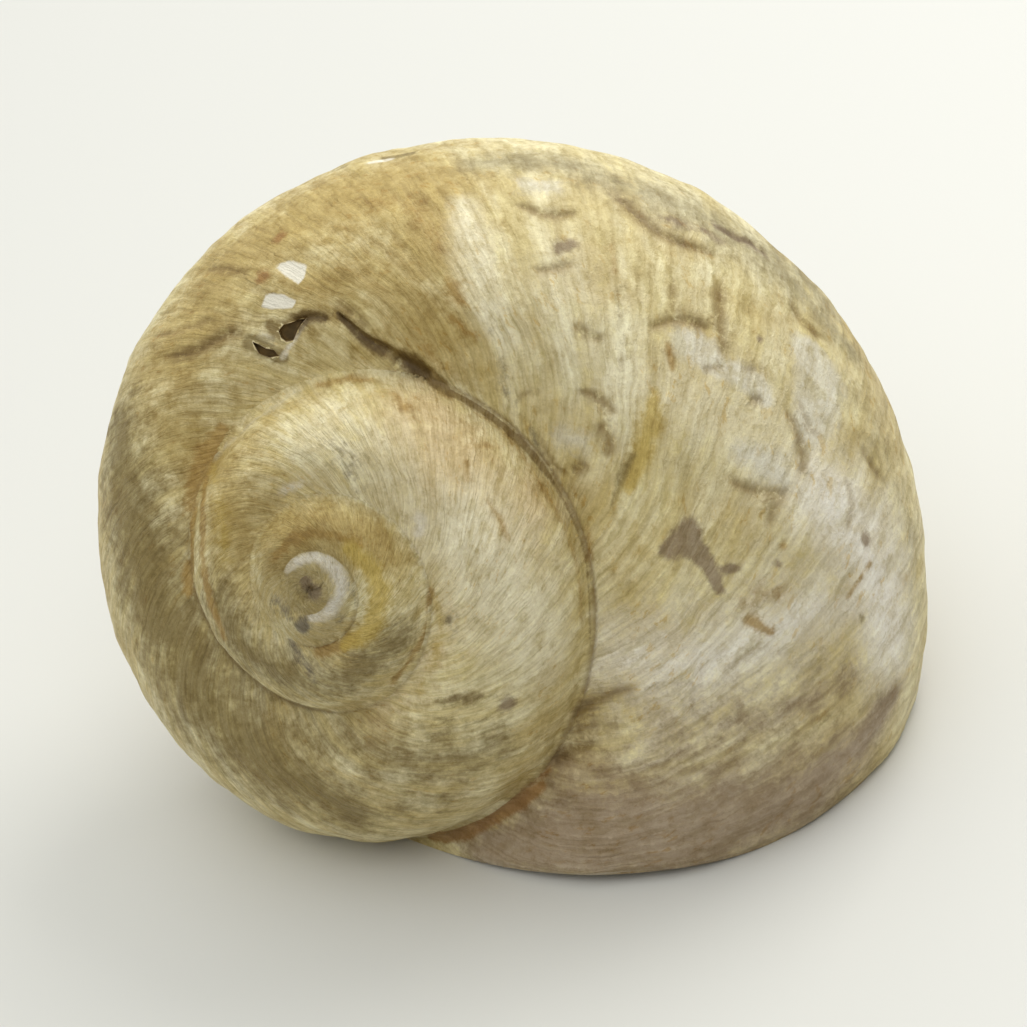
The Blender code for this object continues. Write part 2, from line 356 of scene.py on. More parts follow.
def chamber_ring(angle, size):
    """Outline of the living chamber in one half plane, as rays from its centre."""
    scale = growth_scale(angle)
    steps = RAY_STEPS
    rays = 2 * math.pi * np.arange(CHAMBER_RAYS) / CHAMBER_RAYS
    across = CHAMBER_CENTRE[0] + steps[None, :] * np.cos(rays)[:, None]
    up = CHAMBER_CENTRE[1] + SECTION_SINKING * angle + steps[None, :] * np.sin(rays)[:, None]
    own = section_level(angle, scale * across, scale * up) - (1 - WALL)
    previous = section_level(angle - 2 * math.pi, scale * across, scale * up)
    outside = np.maximum(own, 1 + 2 * GLAZE - previous)
    first = np.argmax(outside > 0, axis=1)
    numbers = np.arange(CHAMBER_RAYS)
    before = outside[numbers, first - 1]
    share = before / (before - outside[numbers, first])
    reach = size * (steps[first - 1] + share * steps[1])
    radius = scale * (CHAMBER_CENTRE[0] + reach * np.cos(rays))
    height = scale * (CHAMBER_CENTRE[1] + SECTION_SINKING * angle + reach * np.sin(rays))
    return place(angle, radius, height)


def chamber_mesh():
    """The hollow of the last whorls, which opens through the lip."""
    mesh = bmesh.new()
    rings = []
    for row in range(CHAMBER_ROWS + 1):
        angle = CHAMBER_START + (CHAMBER_END - CHAMBER_START) * row / CHAMBER_ROWS
        gone = min(1.0, CHAMBER_TIP_START + (angle - CHAMBER_START) / CHAMBER_TIP_LENGTH)
        ring = chamber_ring(angle, math.sqrt(1 - (1 - gone) ** 2))
        rings.append([mesh.verts.new(spot) for spot in ring])
    for near, far in zip(rings, rings[1:]):
        for index in range(CHAMBER_RAYS):
            following = (index + 1) % CHAMBER_RAYS
            mesh.faces.new((near[index], far[index], far[following], near[following]))
    mesh.faces.new(rings[0])
    mesh.faces.new(rings[-1])
    bmesh.ops.recalc_face_normals(mesh, faces=mesh.faces)
    return finished_mesh("chamber", mesh)


def ground_mesh():
    """Everything below the plane of the lip."""
    mesh = bmesh.new()
    shift = Matrix.Translation((0, 0, -GROUND_SIZE / 2))
    bmesh.ops.create_cube(mesh, size=GROUND_SIZE, matrix=shift)
    return finished_mesh("ground", mesh)


def finished_mesh(name, mesh):
    data = bpy.data.meshes.new(name)
    mesh.to_mesh(data)
    mesh.free()
    return data


def new_object(name, data):
    obj = bpy.data.objects.new(name, data)
    bpy.context.scene.collection.objects.link(obj)
    return obj


def cut(target, cutters):
    """Joins or cuts the target by each of (mesh, operation), and keeps the result as its mesh."""
    helpers = []
    for data, operation in cutters:
        cutter = new_object(data.name, data)
        helpers.append(cutter)
        modifier = target.modifiers.new(cutter.name, "BOOLEAN")
        modifier.operation = operation
        modifier.solver = "EXACT"
        modifier.material_mode = "TRANSFER"
        modifier.object = cutter
    graph = bpy.context.evaluated_depsgraph_get()
    data = bpy.data.meshes.new_from_object(target.evaluated_get(graph))
    target.modifiers.clear()
    target.data = data
    for helper in helpers:
        bpy.data.objects.remove(helper, do_unlink=True)


def body_mesh(data, matrix, material):
    data.transform(matrix)
    data.materials.append(material)
    return data


def smooth_shell():
    """The shell's smooth form, cut by its hollow and by the plane of its lip."""
    rest = to_rest()
    outside = shell_material()
    shell = new_object("moon_snail_shell", body_mesh(outer_mesh(), rest, outside))
    cutters = [
        (body_mesh(chamber_mesh(), rest, clouded_material(*INSIDE_LOOK)), "DIFFERENCE"),
        (body_mesh(callus_mesh(), rest, outside), "UNION"),
        (body_mesh(ground_mesh(), Matrix(), clouded_material(*EDGE_LOOK)), "DIFFERENCE"),
    ]
    cut(shell, cutters)
    spots = read_vertices(shell.data)
    middle = (spots.min(axis=0) + spots.max(axis=0)) / 2
    shift = np.array((-middle[0], -middle[1], 0))
    shell.data.transform(Matrix.Translation(shift))
    fill_sutures(shell.data, shift)
    level = callus_levels(shell.data, shift)
    set_attribute(shell.data, "callus_level", level)
    near = np.clip((CALLUS_REACH - level) / (CALLUS_REACH - 1), 0, 1)
    relax(shell.data, RELAXING * near * outside_share(shell.data), CALLUS_ROUNDS)
    return shell


def linear(red, green, blue):
    """A colour given in the usual 0 to 255 steps, as linear light."""
    values = [each / 255 for each in (red, green, blue)]
    return tuple(v / 12.92 if v < 0.04045 else ((v + 0.055) / 1.055) ** 2.4 for v in values) + (1.0,)


class Graph:
    """Adds nodes to a material and links them by value."""

    def __init__(self, name):
        self.material = bpy.data.materials.new(name)
        self.material.use_nodes = True
        self.nodes = self.material.node_tree.nodes
        self.links = self.material.node_tree.links
        self.shader = self.nodes["Principled BSDF"]

    def feed(self, socket, value):
        if isinstance(value, bpy.types.NodeSocket):
            self.links.new(value, socket)
        else:
            socket.default_value = value

    def node(self, kind, inputs=(), **settings):
        node = self.nodes.new(kind)
        for key, value in settings.items():
            setattr(node, key, value)
        for key, value in dict(inputs).items():
            self.feed(node.inputs[key], value)
        return node

    def math(self, operation, *values, clamp=False):
        node = self.nodes.new("ShaderNodeMath")
        node.operation = operation
        node.use_clamp = clamp
        for socket, value in zip(node.inputs, values):
            self.feed(socket, value)
        return node.outputs[0]

    def step(self, value, low, high, top=1.0):
        """Smooth rise from 0 at low to top at high."""
        inputs = {"Value": value, "From Min": low, "From Max": high, "To Min": 0.0, "To Max": top}
        node = self.node("ShaderNodeMapRange", inputs, interpolation_type="SMOOTHSTEP")
        return node.outputs["Result"]

    def mix(self, factor, one, other, blend="MIX"):
        node = self.node("ShaderNodeMix", data_type="RGBA", blend_type=blend)
        self.feed(node.inputs[0], factor)
        self.feed(node.inputs[6], one)
        self.feed(node.inputs[7], other)
        return node.outputs[2]

    def vector(self, x, y, z):
        return self.node("ShaderNodeCombineXYZ", {"X": x, "Y": y, "Z": z}).outputs[0]

    def noise(self, vector, scale, detail=2.0, roughness=0.5):
        inputs = {"Vector": vector, "Scale": scale, "Detail": detail, "Roughness": roughness}
        return self.node("ShaderNodeTexNoise", inputs).outputs["Fac"]

    def attribute(self, name):
        return self.node("ShaderNodeAttribute", attribute_name=name).outputs["Fac"]


# Creases and edges of flakes, read from the picture: each point is x, y and half width in pixels,
# then the depth of the line and the rise of the side on its left, both in millimetres
CREASES = (
    (
        "edge of the top flake",
        ((511, 202, 2), (527, 208, 4), (548, 214, 6), (566, 214, 5), (585, 210, 3)),
        0.14,
        0.1,
    ),
    ("second flake", ((531, 270, 3), (550, 269, 5), (564, 266, 5), (574, 258, 4)), 0.12, 0.08),
    ("third flake", ((571, 322, 3), (582, 331, 5), (594, 337, 4), (606, 339, 3)), 0.12, 0.05),
    (
        "long crease",
        ((601, 178, 3), (612, 194, 5), (630, 210, 6), (659, 234, 6), (690, 248, 5), (722, 256, 3)),
        0.14,
        0.14,
    ),
    ("spot by the long crease", ((712, 224, 4), (735, 235, 6), (757, 246, 5), (770, 258, 3)), 0.1, 0.04),
    ("left upright", ((673, 274, 3), (673, 297, 4), (676, 317, 4)), 0.1, 0.0),
    ("crossbar", ((643, 331, 3), (660, 324, 5), (679, 319, 6), (697, 323, 6), (716, 332, 4)), 0.16, 0.08),
    (
        "right upright",
        ((718, 276, 5), (720, 304, 6), (721, 326, 5), (723, 347, 5), (723, 366, 4)),
        0.15,
        -0.05,
    ),
    ("hook", ((701, 371, 3), (713, 368, 4), (726, 365, 3)), 0.1, 0.0),
    ("beside the hook", ((738, 365, 3), (752, 369, 4), (768, 371, 3)), 0.06, 0.0),
    ("upper arc", ((572, 391, 3), (588, 394, 4), (602, 402, 5), (618, 418, 3)), 0.15, 0.07),
    ("faint arc", ((513, 400, 3), (527, 394, 3), (542, 390, 3)), 0.06, 0.0),
    ("crescent", ((596, 420, 4), (605, 432, 6), (609, 447, 6), (604, 460, 4)), 0.18, -0.07),
    ("below the crescent", ((570, 470, 4), (580, 469, 5), (590, 463, 4)), 0.14, 0.0),
    ("left of the crescent", ((543, 432, 3), (546, 452, 4), (556, 468, 4), (572, 474, 3)), 0.07, 0.04),
    (
        "right arc",
        ((783, 404, 3), (793, 420, 4), (801, 440, 5), (804, 463, 5), (798, 484, 4)),
        0.15,
        -0.09,
    ),
    (
        "lower arc",
        ((796, 488, 4), (780, 493, 5), (757, 491, 5), (737, 484, 4), (726, 471, 3)),
        0.13,
        0.09,
    ),
    ("tail of the arc", ((790, 490, 4), (775, 505, 5), (767, 528, 3)), 0.12, 0.0),
    ("short mark", ((747, 398, 4), (757, 400, 5), (765, 399, 4)), 0.14, 0.0),
    ("above the chalky patch", ((789, 293, 4), (798, 314, 5), (812, 330, 5), (829, 343, 3)), 0.11, 0.08),
    ("below the chalky patch", ((798, 395, 3), (808, 420, 4), (824, 440, 3)), 0.06, -0.05),
    ("near the right edge", ((861, 443, 4), (874, 469, 5), (887, 482, 4)), 0.09, 0.0),
    ("fold on the right", ((845, 475, 3), (850, 505, 4), (845, 535, 3)), 0.06, 0.04),
    ("from the suture", ((568, 722, 6), (588, 705, 5), (612, 694, 5), (644, 686, 3)), 0.14, 0.06),
    ("lower from the suture", ((546, 762, 6), (566, 752, 6), (584, 746, 4), (602, 744, 3)), 0.12, 0.05),
    ("between them", ((560, 738, 4), (580, 728, 4), (604, 720, 3)), 0.07, 0.03),
    (
        "left crease",
        ((158, 358, 3), (190, 352, 5), (211, 343, 5), (232, 333, 5), (248, 336, 4)),
        0.16,
        0.08,
    ),
    ("above the left crease", ((150, 338, 3), (180, 330, 4), (215, 318, 3)), 0.05, 0.03),
    ("upper left crease", ((205, 268, 3), (230, 271, 5), (254, 276, 4)), 0.1, 0.05),
    ("arch over the break", ((290, 322, 3), (304, 318, 4), (319, 317, 4), (332, 324, 4)), 0.26, 0.0),
    (
        "groove",
        ((330, 304, 1), (340, 316, 2), (353, 328, 4), (368, 341, 5), (386, 350, 6), (400, 361, 7)),
        0.34,
        0.06,
    ),
    ("pocket", ((390, 355, 6), (404, 362, 8), (418, 369, 8), (434, 379, 5)), 0.55, 0.0),
    ("foot of the spire", ((398, 811, 2), (430, 812, 2), (465, 811, 2)), 0.05, 0.0),
    ("spire crease", ((440, 700, 3), (465, 697, 4), (492, 694, 3)), 0.07, 0.0),
    ("right of the flap", ((330, 300, 3), (350, 312, 4), (372, 330, 4)), 0.08, 0.05),
)

# Broad washes of colour, the lowest first: the course of each with half widths in pixels, and its
# strength
WASHES = {
    "tan": (
        (
            "upper left",
            ((180, 350, 44), (230, 270, 50), (320, 210, 56), (410, 190, 50), (430, 250, 44)),
            1.05,
        ),
        ("by the groove", ((300, 280, 44), (380, 290, 50), (440, 330, 34)), 0.8),
        ("left of the spire", ((170, 420, 44), (220, 470, 44), (240, 540, 40)), 0.85),
        ("inner rings", ((290, 535, 30), (350, 525, 24), (395, 560, 20)), 0.95),
        ("beside the suture", ((520, 790, 20), (560, 770, 22), (600, 765, 14)), 0.6),
    ),
    "olive": (
        (
            "left side",
            (
                (118, 430, 30), (128, 520, 44), (160, 610, 50),
                (210, 700, 50), (280, 770, 44), (350, 815, 30),
            ),
            0.95,
        ),
        ("below the inner rings", ((215, 600, 26), (250, 655, 26), (330, 680, 24), (395, 640, 20)), 0.75),
        ("lower spire", ((250, 720, 34), (340, 745, 36), (430, 760, 34), (500, 750, 22)), 0.6),
        ("bottom of the spire", ((300, 800, 20), (380, 815, 18), (440, 800, 20)), 0.5),
    ),
    # Greyer tone; along the top edge and at the top right it is also painted shade
    "grey": (
        (
            "grey and painted shade on the top edge",
            (
                (480, 160, 22), (560, 165, 22), (650, 195, 28),
                (720, 230, 34), (790, 280, 28), (850, 350, 16),
            ),
            0.75,
        ),
        ("right edge", ((860, 400, 24), (890, 470, 24), (912, 560, 18), (905, 650, 22)), 0.3),
        ("brown and painted shade at the top right", ((740, 240, 26), (785, 262, 26), (830, 310, 18)), 0.75),
    ),
    "peach": (
        ("peach", ((430, 410, 40), (450, 470, 50), (500, 530, 46), (530, 500, 30)), 0.9),
        ("peach by the ring", ((450, 600, 20), (440, 650, 20), (380, 720, 16)), 0.45),
    ),
    "pale": (
        ("pale middle of the spire", ((470, 540, 44), (500, 590, 44), (540, 640, 34)), 1.1),
        ("pale column", ((462, 205, 12), (474, 250, 17), (488, 300, 15), (505, 340, 12)), 0.9),
        (
            "pale body",
            ((560, 290, 40), (600, 360, 50), (660, 400, 60), (760, 420, 60), (820, 520, 60)),
            0.6,
        ),
        ("spire top", ((320, 430, 36), (360, 460, 34), (470, 560, 50), (540, 560, 34)), 0.55),
    ),
    "white": (
        ("pale right side", ((830, 500, 36), (870, 560, 44), (890, 640, 40)), 0.95),
        ("pale lower body", ((620, 660, 40), (700, 660, 50), (800, 620, 46), (860, 600, 30)), 0.7),
        (
            "pink and white streaks",
            ((640, 745, 14), (731, 690, 24), (790, 650, 26), (850, 610, 18)),
            0.45,
        ),
    ),
    "taupe": (
        (
            "low body",
            (
                (495, 850, 30), (590, 838, 60), (690, 828, 62),
                (780, 800, 50), (850, 755, 28), (890, 700, 12),
            ),
            1.1,
        ),
        (
            "soft edge of the taupe",
            ((540, 815, 40), (620, 775, 50), (720, 740, 46), (800, 705, 34), (850, 670, 20)),
            0.5,
        ),
    ),
}

# Stains and worn patches, with some painted shade and a painted highlight, given in the same way
STAINS_AND_PAINTED_LIGHT = {
    "ochre": (
        # ochre painted shade on the spire's side of the suture
        (
            "painted shade inside the suture",
            ((440, 392, 6), (500, 430, 7), (545, 492, 6), (574, 560, 5), (582, 620, 4)),
            0.5,
        ),
        ("left ochre", ((222, 428, 5), (205, 455, 9), (194, 500, 9), (190, 550, 9), (188, 590, 6)), 1.0),
        (
            "ochre inside the left suture",
            ((224, 430, 4), (208, 470, 6), (203, 520, 7), (205, 580, 6), (224, 636, 5)),
            0.9,
        ),
        ("over the first ring", ((276, 556, 5), (296, 538, 6), (330, 534, 6), (358, 545, 7)), 0.8),
        ("below the nucleus", ((318, 652, 6), (338, 647, 7), (356, 636, 5)), 0.9),
        ("beside the ring", ((430, 590, 4), (429, 625, 5), (412, 655, 4), (392, 682, 5)), 0.8),
        ("above the faint suture", ((318, 384, 5), (345, 379, 7), (372, 381, 5)), 0.7),
        ("ochre by the pocket", ((395, 395, 6), (405, 408, 7)), 0.7),
        ("brown by the pocket", ((425, 345, 7), (440, 365, 7)), 0.6),
        ("ochre on the spire", ((470, 445, 8), (500, 448, 5)), 0.5),
        ("ochre streak on the spire", ((466, 462, 4), (468, 480, 5)), 0.6),
        ("ochre curl on the spire", ((486, 500, 5), (500, 520, 6), (508, 540, 4)), 0.6),
        ("upper left ochre", ((380, 200, 16), (420, 215, 12), (440, 250, 8)), 0.5),
        ("right ochre flecks", ((590, 530, 6), (588, 560, 5)), 0.7),
        ("ochre dot", ((783, 545, 5),), 0.9),
        ("ochre dots", ((748, 619, 6), (770, 632, 5)), 0.8),
        ("ochre line", ((848, 597, 4), (870, 563, 4)), 0.7),
        ("ochre on the right", ((740, 600, 16), (780, 590, 14)), 0.4),
        ("ochre on the upper body", ((612, 245, 4), (616, 272, 4)), 0.6),
        ("ochre fleck on the left", ((448, 280, 8), (460, 302, 7)), 0.8),
        ("ochre fleck lower", ((452, 318, 5), (474, 336, 5)), 0.6),
        ("ochre by the crossbar", ((669, 345, 5), (672, 368, 4)), 0.8),
        ("ochre by the brown dot", ((754, 332, 5),), 0.6),
    ),
    "gold": (
        ("gold", ((350, 548, 8), (372, 572, 11), (380, 600, 12), (366, 632, 9), (345, 645, 6)), 0.95),
        ("gold on the left", ((212, 470, 10), (222, 520, 12), (226, 560, 10)), 0.45),
        ("gold by the ring", ((436, 600, 7), (440, 640, 9), (420, 690, 7)), 0.45),
        ("ochre flecks", ((655, 395, 8), (650, 425, 12), (640, 460, 11), (628, 490, 7)), 0.8),
    ),
    "olive": (
        ("olive dot", ((863, 619, 5),), 0.9),
        # darker olive over the lower break
        ("olive in the lower break", ((250, 342, 6), (266, 351, 7), (282, 357, 5)), 1.2),
        ("edge olive", ((385, 157, 7), (410, 152, 6)), 0.9),
        ("edge brown", ((250, 195, 10), (300, 175, 9), (345, 168, 8)), 0.6),
        ("olive streak", ((440, 703, 6), (465, 699, 6), (495, 696, 5)), 0.6),
        ("lower olive streak", ((440, 719, 6), (470, 722, 5), (495, 719, 4)), 0.5),
        ("streak on the upper body", ((619, 290, 6), (621, 330, 7), (622, 372, 6)), 0.45),
        ("olive by the ochre flecks", ((632, 455, 5), (620, 480, 5), (612, 505, 3)), 0.6),
        ("brown low streak", ((195, 690, 10), (230, 750, 10)), 0.5),
    ),
    "chalk": (
        ("pale plug", ((262, 334, 6), (274, 338, 7)), 0.5),
        ("chalky patch", ((808, 352, 16), (822, 385, 24), (812, 425, 18)), 1.3),
        ("chalk by the crossbar", ((684, 340, 12), (700, 350, 15), (716, 366, 11)), 1.15),
        ("chalk by the right arc", ((735, 372, 11), (752, 384, 13), (765, 398, 9)), 1.1),
        ("chalk inside the arcs", ((745, 452, 14), (768, 464, 18), (782, 478, 12)), 0.85),
        ("chalk beside the crescent", ((560, 436, 12), (582, 442, 12)), 0.65),
        ("top flake", ((525, 185, 14), (550, 188, 14)), 0.7),
        ("pale lip", ((478, 870, 2), (540, 874, 3), (600, 875, 3), (680, 873, 2), (740, 862, 2)), 0.6),
        ("pale rim of the ring", ((300, 388, 7), (262, 416, 8), (236, 438, 8), (216, 455, 6)), 0.4),
    ),
    "white": (
        ("chip on the edge", ((372, 163, 5), (388, 158, 5)), 1.0),
        (
            "white ring",
            ((288, 566, 6), (312, 557, 6), (332, 566, 8), (341, 588, 8), (330, 610, 7), (312, 617, 5)),
            0.9,
        ),
        ("pale spot by the ring", ((285, 490, 8), (300, 485, 6)), 0.6),
        # painted highlight on the lit edge of the splinter
        ("painted highlight on the flap's edge", ((283, 357, 3), (305, 322, 3)), 0.7),
        ("pale fleck", ((420, 520, 8), (418, 535, 6)), 0.7),
    ),
    "slate": (
        ("grey spot", ((303, 627, 8),), 1.0),
        ("grey of the first ring", ((276, 600, 9), (290, 618, 8)), 0.6),
        ("grey streak", ((290, 640, 5), (302, 659, 8), (315, 680, 6)), 0.6),
        ("grey right of the nucleus", ((352, 585, 5), (354, 605, 5), (340, 622, 4)), 0.5),
        ("grey on the spire", ((340, 450, 16), (352, 480, 16)), 0.4),
        ("grey mark on the spire", ((450, 620, 12), (462, 655, 12)), 0.35),
        ("grey on the body", ((500, 380, 8), (515, 405, 8)), 0.5),
        ("speckles by the suture", ((492, 330, 6), (501, 356, 6), (506, 384, 7)), 0.35),
        ("grey at the arc", ((532, 430, 6), (540, 455, 6)), 0.4),
    ),
    "rust": (
        ("rust corner", ((430, 838, 5), (458, 832, 8), (488, 818, 9), (518, 801, 8), (542, 786, 5)), 1.2),
        ("rust by the suture", ((525, 790, 5), (550, 768, 4)), 0.6),
        ("brown spot", ((263, 278, 7),), 0.9),
        ("second brown spot", ((280, 238, 7),), 0.8),
    ),
    "umber": (
        ("blotch", ((668, 551, 8), (684, 541, 11), (700, 554, 8), (712, 572, 7), (719, 590, 5)), 1.1),
        ("lobe of the blotch", ((690, 530, 10),), 1.1),
        ("tail of the blotch", ((712, 570, 5), (738, 568, 4)), 0.8),
        ("spot", ((507, 705, 9),), 1.0),
        ("right spot", ((865, 540, 7),), 0.9),
        ("dark dot", ((778, 565, 5),), 0.9),
        ("brown dot", ((759, 339, 4),), 0.9),
        ("second flake blotch", ((560, 248, 8), (572, 243, 7)), 0.7),
        # painted shade along the long crease
        ("shade of the long crease", ((668, 222, 9), (700, 232, 9), (722, 243, 7)), 0.6),
        ("pink patch", ((725, 735, 20),), 0.35),
        ("nucleus", ((304, 580, 6), (314, 592, 8)), 1.0),
        # painted shade right of the long crease
        ("painted shade right of the long crease", ((716, 226, 8), (740, 238, 10), (764, 254, 8)), 0.7),
    ),
    # Dark brown in the hollows: dirt and painted shade, and under the arch of the break painted shade
    # only
    "hollow_dirt_and_shade": (
        (
            "dirt and shade in the pocket",
            ((384, 350, 5), (404, 358, 9), (420, 366, 8), (440, 382, 5), (458, 392, 4)),
            1.1,
        ),
        ("dirt and shade in the groove", ((338, 314, 2), (351, 327, 4), (366, 340, 5), (386, 352, 6)), 1.2),
        (
            "dirt and shade in the suture",
            ((416, 368, 6), (446, 389, 5), (483, 410, 4), (519, 440, 4), (549, 475, 3)),
            1.1,
        ),
        (
            "thin dirt and shade in the suture",
            ((549, 475, 3), (571, 516, 2), (584, 552, 2), (589, 600, 2), (591, 645, 2)),
            0.6,
        ),
        ("shade under the arch of the break", ((270, 326, 5), (282, 332, 8), (292, 326, 9), (306, 317, 6), (322, 318, 4)), 1.3),
        ("nucleus pit", ((311, 588, 3),), 0.6),
    ),
}

# White chips, as the corners of each in pixels
CHIPS = (
    ("upper chip", ((275, 267), (290, 261), (307, 265), (305, 276), (298, 284), (286, 276))),
    ("lower chip", ((262, 307), (267, 295), (284, 295), (296, 301), (292, 308), (273, 309))),
)

# The break goes into the wall in two places, with a splinter between them
BREAKS = (
    (
        "upper break",
        (
            (274, 331), (281, 323), (292, 320), (301, 316), (311, 315),
            (304, 323), (299, 332), (294, 344), (284, 346), (277, 340),
        ),
    ),
    ("lower break", ((248, 339), (256, 342), (266, 348), (277, 350), (284, 358), (271, 360), (257, 355))),
)

STROKE_STEP = 4.0
STROKE_END = 0.2  # share of a stroke over which each end fades
PIXEL = 0.0717 * MM
LEAST_WIDTH = 0.5  # pixels
LEAST_FACING = 0.1  # cosine between a vertex's normal and that of a stroke
FAR = 1e9
STROKE_REACH = 4.0  # half widths
CREASE_REACH = 8.0
CREASE_FAR = 9.0
CHIP_DEPTH = 0.06 * MM
CHIP_REACH = 3 * MM
CHIP_EDGE = 0.5 * MM
MM_PER_METRE = 1000.0

# Colours in the usual 0 to 255 steps
PALETTE = {
    "tan": (180, 154, 88),
    "olive": (136, 117, 66),
    "grey": (166, 154, 118),
    "peach": (208, 184, 138),
    "pale": (234, 223, 190),
    "white": (240, 233, 220),
    "taupe": (164, 143, 120),
    "ochre": (168, 134, 66),
    "gold": (202, 174, 84),
    "chalk": (222, 215, 196),
    "slate": (112, 104, 96),
    "rust": (158, 112, 52),
    "umber": (142, 121, 98),
    # dark brown of the dirt and the painted shade in hollows
    "hollow_dirt_and_shade": (118, 92, 30),
}
GROUND_DARK = (208, 190, 134)
GROUND_LIGHT = (230, 218, 176)
# Dark line of the sutures: dirt and painted shade
SEAM_DIRT_AND_SHADE = (118, 94, 52)
CHIP_COLOUR = (238, 231, 213)
CALLUS_DARK = (164, 138, 104)
CALLUS_LIGHT = (192, 168, 132)
# Noise in space: how many lie in a millimetre, detail and roughness
SPACE_NOISE = {
    "patches": (0.13, 4.0, 0.6),
    "mottle": (0.42, 5.0, 0.7),
    "flecks": (1.25, 4.0, 0.7),
    "speckles": (2.7, 3.0, 0.6),
    "grain": (6.0, 2.0, 0.6),
}
# Noise along the growth lines: how many lie in a radian of age and of turn, then a number that
# sets each apart, detail and roughness
GROWN_NOISE = {
    "fine": (90.0, 12.0, 0.0, 3.0, 0.6),
    "streaks": (22.0, 6.5, 3.0, 4.0, 0.62),
    "bands": (9.0, 1.6, 7.0, 3.0, 0.6),
    "long_lines": (52.0, 2.6, 5.0, 3.0, 0.55),
    "ochre_flecks": (26.0, 14.0, 11.0, 3.0, 0.65),
}
AGE_WAVER = 0.05
NOISE_MIDDLE = 0.5
# How much each noise breaks up the edge of a wash
WASH_EDGE = (("bands", 0.8), ("flecks", 0.9), ("streaks", 0.5))
# Tints of the whole outside: noise, its level at no tint and at full tint, the most of the tint,
# and what the colour is multiplied by
TINTS = (
    ("streaks", 0.51, 0.62, 0.75, (0.80, 0.77, 0.64)),
    ("streaks", 0.48, 0.38, 0.75, (1.10, 1.12, 1.15)),
    ("long_lines", 0.52, 0.64, 0.7, (0.80, 0.77, 0.68)),
    ("long_lines", 0.48, 0.36, 0.8, (1.13, 1.15, 1.17)),
    ("mottle", 0.51, 0.60, 0.7, (0.83, 0.79, 0.67)),
    ("mottle", 0.47, 0.39, 0.7, (1.10, 1.12, 1.15)),
    ("flecks", 0.52, 0.66, 0.6, (0.80, 0.76, 0.64)),
    ("flecks", 0.48, 0.36, 0.6, (1.10, 1.12, 1.14)),
    ("speckles", 0.54, 0.66, 0.4, (0.82, 0.78, 0.66)),
    ("speckles", 0.46, 0.34, 0.35, (1.08, 1.10, 1.14)),
)
OCHRE_TINT = (0.84, 0.70, 0.42)
# Painted shade in the creases: what the colour is multiplied by at a crease's core
CREASE_SHADE_TINT = (0.50, 0.43, 0.32)
BUMP_HEIGHT = 0.12 * MM
# Clouded materials: name, clouds in a metre, dark colour, light colour and roughness
INSIDE_LOOK = ("smooth_inside", 90.0, (150, 122, 96), (186, 164, 138), 0.28)
EDGE_LOOK = ("wall_edge", 700.0, (182, 166, 140), (200, 186, 160), 0.6)
# Dark brown inside the breaks
BREAK_LOOK = ("dark_break", 900.0, (84, 64, 24), (132, 104, 56), 0.7)

LIP_SEARCH = (-1.7, 0.9)  # spiral angles between which the lip lies
LIP_SEEN = 84  # degrees; nearer the suture the growth lines go on as they come
LIP_SWEEP = 1.3
LIP_STEPS = 400
LIP_TURN_STEP = 4.0  # degrees
LIP_BEYOND = 60  # degrees past LIP_SEEN
LIP_SLOPE_STEPS = 7
LIP_SMOOTHING = 4  # turns on each side that are averaged
BREAK_RISE = 1.0 * MM
BREAK_REACH = 0.55 * MM
BREAK_NARROWING = 0.6  # share of the outline's size left at the inner end of a break
SEAM_WIDTH = 0.38 * MM
SEAM_DEPTH = 0.12 * MM
# Strength of each suture's line along the spiral: the depth of its groove and the darkness of its painted
# dirt and shade
SEAM_STRENGTHS = (
    (-31.0, 0.2),
    (-15.6, 0.3),
    (-14.0, 0.6),
    (-12.6, 0.7),
    (-11.8, 0.1),
    (-10.0, 0.1),
    (-9.4, 0.35),
    (-8.6, 0.3),
    (-7.8, 0.55),
    (-7.0, 0.6),
    (-6.4, 0.25),
    (-6.1, 1.0),
    (-5.0, 0.95),
    (-4.4, 0.5),
    (-3.9, 0.1),
    (-2.95, 0.05),
    (-2.75, 1.0),
    (-0.9, 0.95),
    (-0.5, 0.5),
    (0.2, 0.4),
)
# Reach of the filled step beside the suture, in millimetres, along the spiral
SEAM_FILLS = (
    (-31.0, 0.3),
    (-9.6, 0.5),
    (-7.0, 0.5),
    (-6.4, 0.45),
    (-4.9, 0.5),
    (-4.3, 2.0),
    (-3.0, 2.4),
    (-2.7, 0.7),
    (-2.2, 0.5),
    (0.2, 0.4),
)
RIM_HEIGHT = 1.0 * MM
RIM_ROUNDING = 0.35 * MM
RIM_SHARE = 0.4  # most of the wall's thickness that the rounding takes
LIP_RISE = 1.0 * MM  # the lip stands this far off the table in front
LIP_RISE_MIDDLE = 4.0 * MM
LIP_RISE_LENGTH = 13.0 * MM
LIP_RISE_HEIGHT = 4.0 * MM
RIM_CALM = 3.0  # times the callus's size, within which the rounding fades out towards it
OUTSIDE = 0  # numbers of the materials, in the order in which the solids are joined
INSIDE = 1
LONG_OUTLINE = 8  # corners; faces with more are split into triangles
FILL_ROUNDS = 20
RELAXING = 0.5  # share of the way to the neighbours that a vertex moves in a round
COURSE_POINTS = 16000
SEAM_SEEN = 3.0 * MM
SMALL_STAIN = 8  # pixels; the mesh is refined under narrower ones
REFINED_REACH = 1.6  # half widths of a stroke, within which the mesh is refined
